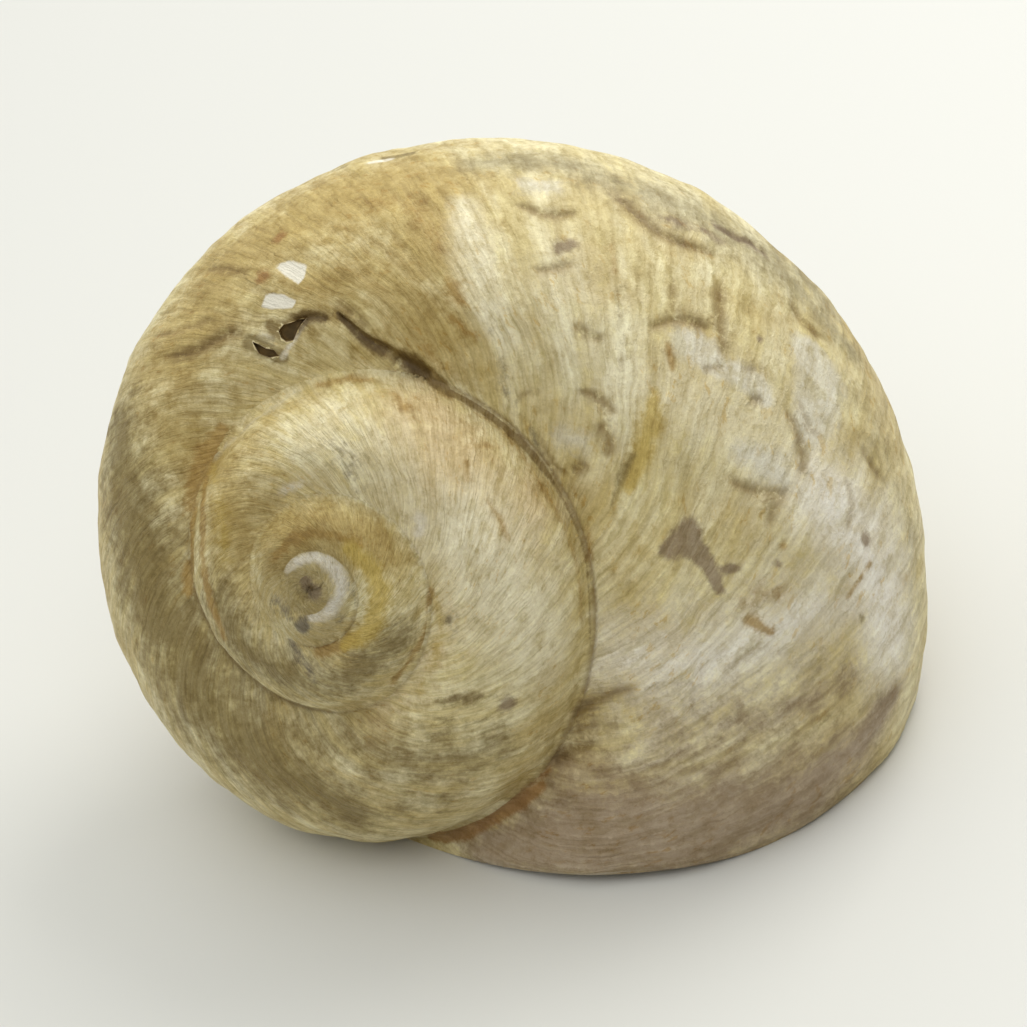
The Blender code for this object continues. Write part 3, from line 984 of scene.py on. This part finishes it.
# Relief: height in millimetres, then how many lie in a millimetre, or in a radian of age and of turn
LUMPS = (0.20, 0.16)
SMALL_LUMPS = (0.11, 0.38)
PITS = (0.035, 1.1)
WRINKLES = (0.07, 20.0, 3.0)
WAVES = (0.10, 7.0, 1.0)
SHARP_EDGE = math.radians(50)
FLOOR_SIZE = 3.0
FLOOR_COLOUR = (217, 216, 212)
FLOOR_ROUGHNESS = 0.55
SKY_COLOUR = (252, 254, 250)
SKY_BRIGHT_SIDE = (-0.20, 0.30, 0.93)
SKY_SPAN = (0.05, 0.85)
SKY_STRENGTHS = (0.04, 1.20)
LIGHT_TARGET = (0.0, 0.0, 0.015)
# Lights: name, place, size, power and colour
LIGHTS = (
    ("key", (0.16, 0.20, 0.28), 0.20, 0.62, (255, 254, 250)),
    ("fill", (0.05, -0.30, 0.40), 0.30, 0.34, (255, 254, 250)),
)


def pixel_ray(x, y):
    """Direction from the camera through a point of the picture."""
    middle = FRAME_SIZE / 2
    across = CAMERA_RIGHT * ((x - middle) / FOCAL_PIXELS)
    up = CAMERA_UP * ((middle - y) / FOCAL_PIXELS)
    return (across + up - CAMERA_BACK).normalized()


def smooth_course(points):
    """Points of a smooth curve through the given ones, about STROKE_STEP pixels apart."""
    marks = np.array(points, dtype=float)
    if len(marks) == 1:
        return marks
    padded = np.vstack((2 * marks[0] - marks[1], marks, 2 * marks[-1] - marks[-2]))
    course = []
    for index in range(len(marks) - 1):
        a, b, c, d = padded[index : index + 4]
        count = max(2, int(np.linalg.norm(c[:2] - b[:2]) / STROKE_STEP) + 1)
        for t in np.linspace(0, 1, count, endpoint=False):
            cubic = 2 * b + (c - a) * t + (2 * a - 5 * b + 4 * c - d) * t * t
            course.append((cubic + (3 * b - a - 3 * c + d) * t**3) / 2)
    course.append(marks[-1])
    return np.array(course)


class Surface:
    """The smooth cut shell, onto which what the picture shows is laid."""

    def __init__(self, data):
        mesh = bmesh.new()
        mesh.from_mesh(data)
        layer = mesh.loops.layers.uv["grown"]
        self.angles = [face.loops[0][layer].uv.x for face in mesh.faces]
        self.tree = BVHTree.FromBMesh(mesh)
        mesh.free()

    def under_pixel(self, x, y):
        """Place and normal there, and the spiral angle at which it grew."""
        spot, normal, face, _ = self.tree.ray_cast(Vector(CAMERA_PLACE), pixel_ray(x, y))
        return spot, normal, None if face is None else self.angles[face]

    def stroke(self, points):
        """A course of (x, y, half width) pixels as rows of place, normal, half width and angle."""
        rows = []
        for x, y, width in smooth_course(points):
            spot, normal, angle = self.under_pixel(x, y)
            if spot is not None:
                rows.append([*spot, *normal, max(width, LEAST_WIDTH) * PIXEL, angle])
        return np.array(rows).reshape(-1, 8)


class Field:
    """Distances of the vertices from strokes."""

    def __init__(self, data):
        self.spots = read_vertices(data)
        self.normals = read_vertices(data, "normal")
        self.angles = at_vertices(data, "grown")[:, 0]

    def measure(self, stroke, reach):
        """Vertices near a stroke: numbers, share along it, and signed offset in half widths.

        The offset is positive on the left of the stroke's direction, seen from outside.  Only
        the whorl on which the stroke lies is looked at."""
        if len(stroke) == 0:
            return np.array([], int), np.array([]), np.array([])
        places, ups, widths, angles = stroke[:, :3], stroke[:, 3:6], stroke[:, 6], stroke[:, 7]
        limit = widths.max() * reach
        room = np.ptp(places, axis=0) + limit
        inside = np.all(np.abs(self.spots - places.mean(axis=0)) < room, axis=1)
        facing = self.normals @ ups.mean(axis=0) > LEAST_FACING
        near = np.nonzero(inside & facing)[0]
        best = np.full(len(near), FAR)
        share = np.zeros(len(near))
        offset = np.zeros(len(near))
        pairs = max(1, len(places) - 1)
        for index in range(pairs):
            after = min(index + 1, len(places) - 1)
            way = places[after] - places[index]
            gap = self.spots[near] - places[index]
            t = np.clip(gap @ way / max(way @ way, 1e-12), 0, 1)
            rest = gap - t[:, None] * way
            distance = np.linalg.norm(rest, axis=1)
            width = widths[index] + t * (widths[after] - widths[index])
            same_whorl = np.abs(self.angles[near] - angles[index]) < math.pi
            closer = (distance / width < best) & same_whorl
            side = np.where(rest @ np.cross(ups[index], way) < 0, -1.0, 1.0)
            best = np.where(closer, distance / width, best)
            offset = np.where(closer, side * distance / width, offset)
            share = np.where(closer, (index + t) / pairs, share)
        keep = best < reach
        return near[keep], share[keep], offset[keep]


def ends_fade(share):
    """Falls to nothing at both ends of a stroke."""
    edge = np.clip(np.minimum(share, 1 - share) / STROKE_END, 0, 1)
    return edge * edge * (3 - 2 * edge)


def lip_angles(turns):
    """Spiral angle at which the last whorl's surface passes down through the ground."""
    rest = np.array(to_rest())[2]
    angles = np.linspace(LIP_SEARCH[0], LIP_SEARCH[1], LIP_STEPS)
    spots = place(angles[None, :], *section_point(angles[None, :], turns[:, None]))
    above = spots @ rest[:3] + rest[3]
    crossing = np.argmax(above < 0, axis=1)
    crossing = np.where(above.min(axis=1) < 0, crossing, len(angles) - 1)
    return angles[crossing]


def grown_lines(data):
    """Adds a UV map of growth age and turn, along whose first axis the growth lines follow."""
    count = len(data.loops)
    values = np.empty(count * 2)
    data.uv_layers["grown"].data.foreach_get("uv", values)
    values = values.reshape(-1, 2)
    turns = np.radians(np.arange(-180, LIP_SEEN + 1, LIP_TURN_STEP))
    lip = lip_angles(turns)
    last = LIP_SEEN + LIP_BEYOND
    beyond = np.radians(np.arange(LIP_SEEN + LIP_TURN_STEP, last, LIP_TURN_STEP))
    back = -1 - LIP_SLOPE_STEPS
    slope = (lip[-1] - lip[back]) / (turns[-1] - turns[back])
    lip = np.append(lip, lip[-1] + LIP_SWEEP * slope * (beyond - turns[-1]))
    turns = np.append(turns, beyond)
    window = 2 * LIP_SMOOTHING + 1
    smooth = np.convolve(np.pad(lip, LIP_SMOOTHING, mode="edge"), np.ones(window) / window, "valid")
    ages = values[:, 0] - np.interp(values[:, 1], turns, smooth)
    layer = data.uv_layers.new(name="lines")
    layer.data.foreach_set("uv", np.column_stack((ages, values[:, 1])).ravel())


def tint(graph, colour, mask, factors):
    """Multiplies the colour by the factors where the mask is 1."""
    return graph.mix(mask, colour, graph.mix(1.0, colour, (*factors, 1.0), "MULTIPLY"))


def noise_patterns(graph):
    """The outside's noises by name, in space and along the growth lines."""
    lines = graph.node("ShaderNodeUVMap", uv_map="lines").outputs["UV"]
    split = graph.node("ShaderNodeSeparateXYZ", {"Vector": lines})
    place_in = graph.node("ShaderNodeTexCoord").outputs["Object"]
    inputs = {0: place_in, "Scale": MM_PER_METRE}
    spot = graph.node("ShaderNodeVectorMath", inputs, operation="SCALE").outputs[0]
    pattern = {name: graph.noise(spot, *values) for name, values in SPACE_NOISE.items()}
    age = graph.math("MULTIPLY_ADD", pattern["mottle"], AGE_WAVER, split.outputs["X"])
    for name, (across, along, apart, detail, roughness) in GROWN_NOISE.items():
        ages = graph.math("MULTIPLY", age, across)
        turns = graph.math("MULTIPLY", split.outputs["Y"], along)
        pattern[name] = graph.noise(graph.vector(ages, turns, apart), 1.0, detail, roughness)
    return pattern


def added(graph, total, noise_value, weight):
    """The total, plus the weight times the noise's difference from its middle."""
    rest = graph.math("SUBTRACT", total, weight * NOISE_MIDDLE)
    return graph.math("MULTIPLY_ADD", noise_value, weight, rest)


def washed_colour(graph, pattern, mottle):
    """The ground colour, with tan patches and the broad washes over it."""
    bands = graph.step(pattern["bands"], 0.36, 0.64)
    colour = graph.mix(bands, linear(*GROUND_DARK), linear(*GROUND_LIGHT))
    patches = graph.step(pattern["patches"], 0.42, 0.62, 0.5)
    colour = graph.mix(patches, colour, linear(*PALETTE["tan"]))
    edge = mottle
    for name, weight in WASH_EDGE:
        edge = added(graph, edge, pattern[name], weight)
    for name in WASHES:
        level = graph.math("MULTIPLY_ADD", edge, 0.8, graph.attribute("wash_" + name))
        colour = graph.mix(graph.step(level, 0.0, 0.9, 0.9), colour, linear(*PALETTE[name]))
    return colour


def stains_and_painted_light_colour(graph, colour, rough_edge):
    """The stains, worn patches, painted shade and painted highlight over the colour."""
    for name in STAINS_AND_PAINTED_LIGHT:
        level = graph.math("MULTIPLY_ADD", rough_edge, 0.9, graph.attribute(name))
        colour = graph.mix(graph.step(level, 0.2, 0.75, 0.8), colour, linear(*PALETTE[name]))
    return colour


def streaked_colour(graph, colour, pattern):
    """Fine darker and lighter streaks, flecks and grit over the colour."""
    for name, low, high, top, factors in TINTS:
        colour = tint(graph, colour, graph.step(pattern[name], low, high, top), factors)
    some = graph.step(pattern["patches"], 0.40, 0.60)
    ochre = graph.math("MULTIPLY", graph.step(pattern["ochre_flecks"], 0.57, 0.66, 0.75), some)
    colour = tint(graph, colour, ochre, OCHRE_TINT)
    shade = graph.math("SUBTRACT", pattern["fine"], NOISE_MIDDLE)
    grit = graph.math("SUBTRACT", pattern["grain"], NOISE_MIDDLE)
    shade = graph.math("MULTIPLY_ADD", shade, 0.14, 1.0)
    shade = graph.math("MULTIPLY", shade, graph.math("MULTIPLY_ADD", grit, 0.2, 1.0))
    return graph.mix(1.0, colour, graph.vector(shade, shade, shade), "MULTIPLY")


def seam_dirt_and_crease_shade(graph, colour, flecks):
    """Painted shade in the creases, and dirt with painted shade in the sutures, broken up by the flecks.
    """
    # Painted shade along each crease, darkest at its core and stronger for deeper creases
    crease = graph.attribute("crease")
    shade_core = graph.math("MULTIPLY", graph.math("MULTIPLY", crease, crease), -0.45)
    shade_core = graph.math("MULTIPLY", graph.math("EXPONENT", shade_core), graph.attribute("crease_shade"))
    shade_core = graph.math("MULTIPLY", shade_core, graph.step(flecks, 0.25, 0.5), clamp=True)
    colour = tint(graph, colour, shade_core, CREASE_SHADE_TINT)
    # Dirt and painted shade along the sutures
    gap = graph.attribute("seam_gap")
    seam = graph.math("MULTIPLY", graph.math("MULTIPLY", gap, gap), -1.0)
    seam = graph.math("MULTIPLY", graph.math("EXPONENT", seam), graph.attribute("seam_strength"))
    seam = graph.math("MULTIPLY", seam, graph.step(flecks, 0.2, 0.5))
    seam = graph.math("MULTIPLY", seam, 0.62, clamp=True)
    return graph.mix(seam, colour, linear(*SEAM_DIRT_AND_SHADE))


def chipped_colour(graph, colour, rough_edge):
    """The white chips over the colour."""
    chip = graph.math("MULTIPLY_ADD", rough_edge, 0.6, graph.attribute("chip"))
    return graph.mix(graph.step(chip, 0.3, 0.7), colour, linear(*CHIP_COLOUR))


def callus_colour(graph, colour, ragged, mottle):
    """The callus's own clouded brown, with a ragged edge towards the colour round it."""
    callus = graph.math("MULTIPLY_ADD", ragged, 0.6, graph.attribute("callus_level"))
    callus = graph.step(callus, 1.35, 1.05, 0.85)
    cloud = graph.mix(graph.step(mottle, 0.35, 0.65), linear(*CALLUS_DARK), linear(*CALLUS_LIGHT))
    return graph.mix(callus, colour, cloud)


def fine_relief(graph, pattern):
    """Bumps too fine for the mesh: growth lines, flecks and grain."""
    relief = graph.math("MULTIPLY", pattern["grain"], 0.35)
    for name, weight in (("fine", 0.5), ("streaks", 0.8), ("long_lines", -1.2), ("flecks", 0.9)):
        relief = graph.math("MULTIPLY_ADD", pattern[name], weight, relief)
    inputs = {"Height": relief, "Strength": 0.8, "Distance": BUMP_HEIGHT}
    return graph.node("ShaderNodeBump", inputs).outputs[0]


def shell_material():
    """Worn outside: fine growth lines, streaks and mottling, stains, painted shade in the creases, and
    dirt and painted shade in the sutures.
    """
    graph = Graph("weathered_shell")
    pattern = noise_patterns(graph)
    mottle = graph.math("SUBTRACT", pattern["mottle"], NOISE_MIDDLE)
    ragged = added(graph, mottle, pattern["streaks"], 0.55)
    rough_edge = added(graph, ragged, pattern["flecks"], 0.7)
    colour = washed_colour(graph, pattern, mottle)
    colour = stains_and_painted_light_colour(graph, colour, rough_edge)
    colour = streaked_colour(graph, colour, pattern)
    colour = seam_dirt_and_crease_shade(graph, colour, pattern["flecks"])
    colour = chipped_colour(graph, colour, rough_edge)
    colour = callus_colour(graph, colour, ragged, pattern["mottle"])
    graph.feed(graph.shader.inputs["Base Color"], colour)
    rough = graph.math("MULTIPLY_ADD", pattern["flecks"], 0.35, 0.36)
    graph.feed(graph.shader.inputs["Roughness"], rough)
    graph.feed(graph.shader.inputs["Normal"], fine_relief(graph, pattern))
    return graph.material


def clouded_material(name, scale, dark, light, roughness):
    """Two colours in soft clouds: the glossy inside, the wall's cut edge, the dark inside of a break."""
    graph = Graph(name)
    cloud = graph.noise(graph.node("ShaderNodeTexCoord").outputs["Object"], scale, 3.0)
    colour = graph.mix(graph.step(cloud, 0.35, 0.65), linear(*dark), linear(*light))
    graph.feed(graph.shader.inputs["Base Color"], colour)
    graph.shader.inputs["Roughness"].default_value = roughness
    return graph.material


def break_mesh(surface, name, corners):
    """Prism along the line of sight into the wall, with the picture's outline of a break."""
    mesh = bmesh.new()
    spots = [surface.under_pixel(x, y)[0] for x, y in corners]
    middle = sum(spots, Vector()) / len(spots)
    sight = (middle - Vector(CAMERA_PLACE)).normalized()
    level = sum((spot - middle).dot(sight) for spot in spots) / len(spots)
    top = [mesh.verts.new(spot - sight * BREAK_RISE) for spot in spots]
    foot = [
        mesh.verts.new(middle.lerp(spot, BREAK_NARROWING) + sight * (BREAK_REACH + level))
        for spot in spots
    ]
    mesh.faces.new(top)
    mesh.faces.new(foot[::-1])
    for index in range(len(spots)):
        after = (index + 1) % len(spots)
        mesh.faces.new((top[index], foot[index], foot[after], top[after]))
    bmesh.ops.recalc_face_normals(mesh, faces=mesh.faces)
    return finished_mesh(name, mesh)


def read_vertices(data, what="co"):
    values = np.empty(len(data.vertices) * 3)
    if what == "co":
        data.vertices.foreach_get("co", values)
    else:
        data.vertex_normals.foreach_get("vector", values)
    return values.reshape(-1, 3)


def set_attribute(data, name, values):
    layer = data.attributes.new(name, "FLOAT", "POINT")
    layer.data.foreach_set("value", values.astype(np.float32))


def read_attribute(data, name):
    values = np.empty(len(data.vertices), np.float32)
    data.attributes[name].data.foreach_get("value", values)
    return values


def split_long_faces(data):
    mesh = bmesh.new()
    mesh.from_mesh(data)
    long_faces = [face for face in mesh.faces if len(face.verts) > LONG_OUTLINE]
    bmesh.ops.triangulate(mesh, faces=long_faces)
    mesh.to_mesh(data)
    mesh.free()


def round_rim(data):
    """Draws the lip's outer side in towards the plane it rests on, so that its edge is rounded."""
    spots = read_vertices(data)
    outward = np.zeros((len(spots), 3))
    inner = []
    for polygon in data.polygons:
        if polygon.material_index == OUTSIDE:
            outward[list(polygon.vertices)] += np.array(polygon.normal) * (1.0, 1.0, 0.0)
        elif polygon.material_index == INSIDE:
            inner += polygon.vertices
    low = np.clip(1 - spots[:, 2] / RIM_HEIGHT, 0, 1)
    low *= np.clip((read_attribute(data, "callus_level") - 1) / RIM_CALM, 0, 1)
    chosen = np.nonzero((low > 0) & (np.linalg.norm(outward, axis=1) > 0))[0]
    inner = np.unique(inner)
    inner = inner[spots[inner, 2] < 2 * RIM_HEIGHT]
    gap, _ = nearest_on_course(spots[chosen], spots[inner])
    way = outward[chosen] / np.linalg.norm(outward[chosen], axis=1)[:, None]
    move = np.minimum(RIM_ROUNDING, RIM_SHARE * gap) * low[chosen] ** 2
    spots[chosen] -= way * move[:, None]
    along = np.clip(1 - ((spots[:, 0] - LIP_RISE_MIDDLE) / LIP_RISE_LENGTH) ** 2, 0, 1)
    near_table = np.clip(1 - spots[:, 2] / LIP_RISE_HEIGHT, 0, 1)
    spots[:, 2] += LIP_RISE * along**2 * near_table**2 * (spots[:, 1] < 0)
    data.vertices.foreach_set("co", spots.ravel())
    data.update()


def refine_near(data, courses):
    """Splits the mesh's edges near the creases and the narrow stains."""
    field = Field(data)
    near = np.zeros(len(data.vertices), bool)
    for stroke in courses:
        near[field.measure(stroke, REFINED_REACH)[0]] = True
    mesh = bmesh.new()
    mesh.from_mesh(data)
    mesh.verts.ensure_lookup_table()
    edges = [e for e in mesh.edges if near[e.verts[0].index] and near[e.verts[1].index]]
    bmesh.ops.subdivide_edges(mesh, edges=edges, cuts=1, use_grid_fill=True)
    mesh.to_mesh(data)
    mesh.free()


def seam_course(shift):
    """Places along the suture, with the angle of the whorl above it."""
    angles = np.linspace(START_ANGLE + 2 * math.pi, END_ANGLE, COURSE_POINTS)
    spots = place(angles, *section_point(angles, suture_turn_on_own(angles)))
    rest = np.array(to_rest())
    return angles, spots @ rest[:3, :3].T + rest[:3, 3] + shift


def along_spiral(marks, angles):
    """Value of a table of (angle, value) at these spiral angles."""
    return np.interp(angles, [angle for angle, _ in marks], [value for _, value in marks])


def fill_sutures(data, shift):
    """Eases the step at the sutures, most where the picture hardly shows one."""
    spots = read_vertices(data)
    angles, course = seam_course(shift)
    gap, where = nearest_on_course(spots, course)
    reach = along_spiral(SEAM_FILLS, angles[where]) * MM
    weight = np.clip(1.5 - gap / reach, 0, 1) * outside_share(data) * RELAXING
    strength = along_spiral(SEAM_STRENGTHS, angles[where])
    width = SEAM_WIDTH * np.clip(growth_scale(angles[where]) * 1.6, 0.35, 1.0)
    set_attribute(data, "seam_gap", np.minimum(gap, SEAM_SEEN) / width)
    set_attribute(data, "seam_strength", strength)
    relax(data, weight, FILL_ROUNDS)


def relax(data, weight, rounds):
    """Draws each vertex towards the middle of its neighbours, by its weight, again and again."""
    spots = read_vertices(data)
    pairs = np.empty(len(data.edges) * 2, int)
    data.edges.foreach_get("vertices", pairs)
    one, other = pairs.reshape(-1, 2).T
    count = np.bincount(one, minlength=len(spots)) + np.bincount(other, minlength=len(spots))
    for _ in range(rounds * FINENESS * FINENESS):
        total = np.zeros_like(spots)
        for axis in range(3):
            total[:, axis] = np.bincount(one, spots[other, axis], len(spots))
            total[:, axis] += np.bincount(other, spots[one, axis], len(spots))
        spots += weight[:, None] * (total / count[:, None] - spots)
    data.vertices.foreach_set("co", spots.ravel())
    data.update()


def add_creases(data, field, surface, height):
    """Presses the creases in, and stores the offset from the nearest one and how strong its painted shade
    is.
    """
    crease = np.full(len(height), CREASE_FAR)
    shade_shown = np.zeros(len(height))
    for _, points, depth, rise in CREASES:
        numbers, share, offset = field.measure(surface.stroke(points), CREASE_REACH)
        fade = ends_fade(share)
        height[numbers] -= depth * MM * fade * np.exp(-((offset / 0.9) ** 2))
        side = np.clip(offset / 1.5, 0, 1) * np.exp(-np.maximum(offset, 0) / 3.5)
        height[numbers] += rise * MM * fade * side
        closer = np.abs(offset) < np.abs(crease[numbers])
        chosen = numbers[closer]
        crease[chosen] = offset[closer]
        close = np.clip(2.6 - np.abs(offset[closer]), 0, 1)
        # Strength of the painted shade in the crease, set from its depth
        shade_shown[chosen] = close * fade[closer] * min(1.0, 0.35 + depth * 4)
    set_attribute(data, "crease", np.clip(crease, -CREASE_FAR, CREASE_FAR))
    set_attribute(data, "crease_shade", shade_shown)


def paint_strokes(data, field, surface):
    """Stores the level of each wash and each stain, painted shade and highlight among them, -1 where
    there is none.
    """
    for prefix, table in (("wash_", WASHES), ("", STAINS_AND_PAINTED_LIGHT)):
        for colour, strokes in table.items():
            mask = np.full(len(data.vertices), -1.0)
            for _, points, strength in strokes:
                numbers, _, offset = field.measure(surface.stroke(points), STROKE_REACH)
                level = strength * (1 - np.abs(offset) / 2)
                mask[numbers] = np.maximum(mask[numbers], level)
            set_attribute(data, prefix + colour, mask)


def add_chips(data, spots, surface, height):
    """Sinks the white chips a little, and stores their level."""
    chip = np.zeros(len(spots))
    for _, corners in CHIPS:
        outline = np.array([surface.under_pixel(x, y)[0] for x, y in corners])
        middle = outline.mean(axis=0)
        near = np.nonzero(np.linalg.norm(spots - middle, axis=1) < CHIP_REACH)[0]
        up = np.array(surface.tree.find_nearest(Vector(middle))[1])
        chip[near] = np.maximum(chip[near], inside_level(spots[near], outline, up))
    height -= CHIP_DEPTH * np.clip(chip * 2 - 0.5, 0, 1)
    set_attribute(data, "chip", chip)


def add_unevenness(data, spots, height):
    """Adds lumps, pits, wrinkles and waves."""
    ages, turns = at_vertices(data, "lines").T
    for number in range(len(spots)):
        spot = Vector(spots[number]) * MM_PER_METRE
        rise = 0
        for amount, scale in (LUMPS, SMALL_LUMPS, PITS):
            rise += amount * noise.noise(spot * scale)
        for amount, across, along in (WRINKLES, WAVES):
            spot = Vector((ages[number] * across, turns[number] * along, across))
            rise += amount * noise.noise(spot)
        height[number] += rise * MM


def outside_relief(data, surface):
    """Height of the outside's relief at each vertex; also stores what the material paints."""
    field = Field(data)
    height = np.zeros(len(data.vertices))
    add_creases(data, field, surface, height)
    paint_strokes(data, field, surface)
    add_chips(data, field.spots, surface, height)
    gap = read_attribute(data, "seam_gap")
    height -= SEAM_DEPTH * read_attribute(data, "seam_strength") * np.exp(-gap * gap)
    add_unevenness(data, field.spots, height)
    return height


def at_vertices(data, uv_map):
    """Values of a UV map at the vertices, each from one of its corners."""
    corners = np.empty(len(data.loops), int)
    data.loops.foreach_get("vertex_index", corners)
    values = np.empty(len(data.loops) * 2)
    data.uv_layers[uv_map].data.foreach_get("uv", values)
    result = np.zeros((len(data.vertices), 2))
    result[corners] = values.reshape(-1, 2)
    return result


def inside_level(spots, outline, up):
    """About 1 inside a polygon on the surface and 0 outside, with a narrow slope at its edge."""
    middle = outline.mean(axis=0)
    turning = 0.0
    ways = np.roll(outline, -1, axis=0) - outline
    for corner, way in zip(outline, ways):
        turning += np.cross(corner - middle, way) @ up
    nearest = np.full(len(spots), FAR)
    for corner, way in zip(outline, ways):
        inward = np.cross(up, way) * np.sign(turning)
        nearest = np.minimum(nearest, (spots - corner) @ inward / np.linalg.norm(inward))
    return np.clip(0.5 + nearest / CHIP_EDGE, 0, 1)


def nearest_on_course(spots, course):
    """Distance of each place from a course of points, and the number of its nearest point."""
    tree = KDTree(len(course))
    for number, spot in enumerate(course):
        tree.insert(spot, number)
    tree.balance()
    found = [tree.find(spot) for spot in spots]
    return np.array([each[2] for each in found]), np.array([each[1] for each in found])


def outside_share(data):
    """1 at vertices of the outside only, 0 at the hollow, the lip's plane and the breaks."""
    share = np.ones(len(data.vertices))
    for polygon in data.polygons:
        if polygon.material_index != OUTSIDE:
            share[list(polygon.vertices)] = 0.0
    return share


def add_camera():
    camera = bpy.data.cameras.new("camera")
    camera.sensor_width = SENSOR
    camera.lens = SENSOR * FOCAL_PIXELS / FRAME_SIZE
    camera.clip_start, camera.clip_end = CAMERA_CLIP
    obj = new_object("camera", camera)
    turn = Matrix((CAMERA_RIGHT, CAMERA_UP, CAMERA_BACK)).transposed().to_4x4()
    obj.matrix_world = Matrix.Translation(CAMERA_PLACE) @ turn
    bpy.context.scene.camera = obj


def add_area_light(name, place_at, size, power, colour):
    light = bpy.data.lights.new(name, "AREA")
    light.shape = "SQUARE"
    light.size = size
    light.energy = power
    light.color = colour
    obj = new_object(name, light)
    obj.location = place_at
    aim = Vector(LIGHT_TARGET) - Vector(place_at)
    obj.rotation_euler = aim.to_track_quat("-Z", "Y").to_euler()


def add_floor():
    """Plain pale table."""
    mesh = bmesh.new()
    bmesh.ops.create_grid(mesh, x_segments=1, y_segments=1, size=FLOOR_SIZE)
    floor = new_object("floor", finished_mesh("floor", mesh))
    graph = Graph("pale_table")
    graph.shader.inputs["Base Color"].default_value = linear(*FLOOR_COLOUR)
    graph.shader.inputs["Roughness"].default_value = FLOOR_ROUGHNESS
    floor.data.materials.append(graph.material)


def add_studio():
    world = bpy.data.worlds.new("studio")
    world.use_nodes = True
    background = world.node_tree.nodes["Background"]
    links = world.node_tree.links
    where = world.node_tree.nodes.new("ShaderNodeTexCoord")
    towards = world.node_tree.nodes.new("ShaderNodeVectorMath")
    towards.operation = "DOT_PRODUCT"
    towards.inputs[1].default_value = SKY_BRIGHT_SIDE
    links.new(where.outputs["Generated"], towards.inputs[0])
    level = world.node_tree.nodes.new("ShaderNodeMapRange")
    level.interpolation_type = "SMOOTHSTEP"
    level.inputs["From Min"].default_value = SKY_SPAN[0]
    level.inputs["From Max"].default_value = SKY_SPAN[1]
    level.inputs["To Min"].default_value = SKY_STRENGTHS[0]
    level.inputs["To Max"].default_value = SKY_STRENGTHS[1]
    links.new(towards.outputs["Value"], level.inputs["Value"])
    background.inputs["Color"].default_value = linear(*SKY_COLOUR)
    links.new(level.outputs["Result"], background.inputs["Strength"])
    bpy.context.scene.world = world
    for name, place_at, size, power, colour in LIGHTS:
        add_area_light(name, place_at, size, power, linear(*colour)[:3])
    bpy.context.scene.view_settings.view_transform = "Standard"


def build_shell():
    shell = smooth_shell()
    dark_inside = clouded_material(*BREAK_LOOK)
    surface = Surface(shell.data)
    breaks = [
        (body_mesh(break_mesh(surface, name, corners), Matrix(), dark_inside), "DIFFERENCE")
        for name, corners in BREAKS
    ]
    cut(shell, breaks)
    data = shell.data
    split_long_faces(data)
    round_rim(data)
    grown_lines(data)
    courses = [surface.stroke(points) for _, points, _, _ in CREASES]
    courses += [
        surface.stroke(points)
        for strokes in STAINS_AND_PAINTED_LIGHT.values()
        for _, points, _ in strokes
        if max(width for _, _, width in points) < SMALL_STAIN
    ]
    refine_near(data, courses)
    height = outside_relief(data, surface) * outside_share(data)
    spots = read_vertices(data) + read_vertices(data, "normal") * height[:, None]
    data.vertices.foreach_set("co", spots.ravel())
    smooth_shading(data)
    return shell


def smooth_shading(data):
    """Smooth surfaces, with sharp edges where the wall is cut."""
    mesh = bmesh.new()
    mesh.from_mesh(data)
    for edge in mesh.edges:
        edge.smooth = len(edge.link_faces) == 2 and edge.calc_face_angle(0.0) < SHARP_EDGE
    for face in mesh.faces:
        face.smooth = True
    mesh.to_mesh(data)
    mesh.free()


add_camera()
add_studio()
add_floor()
shell = build_shell()
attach(shell, "root")
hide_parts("shell")
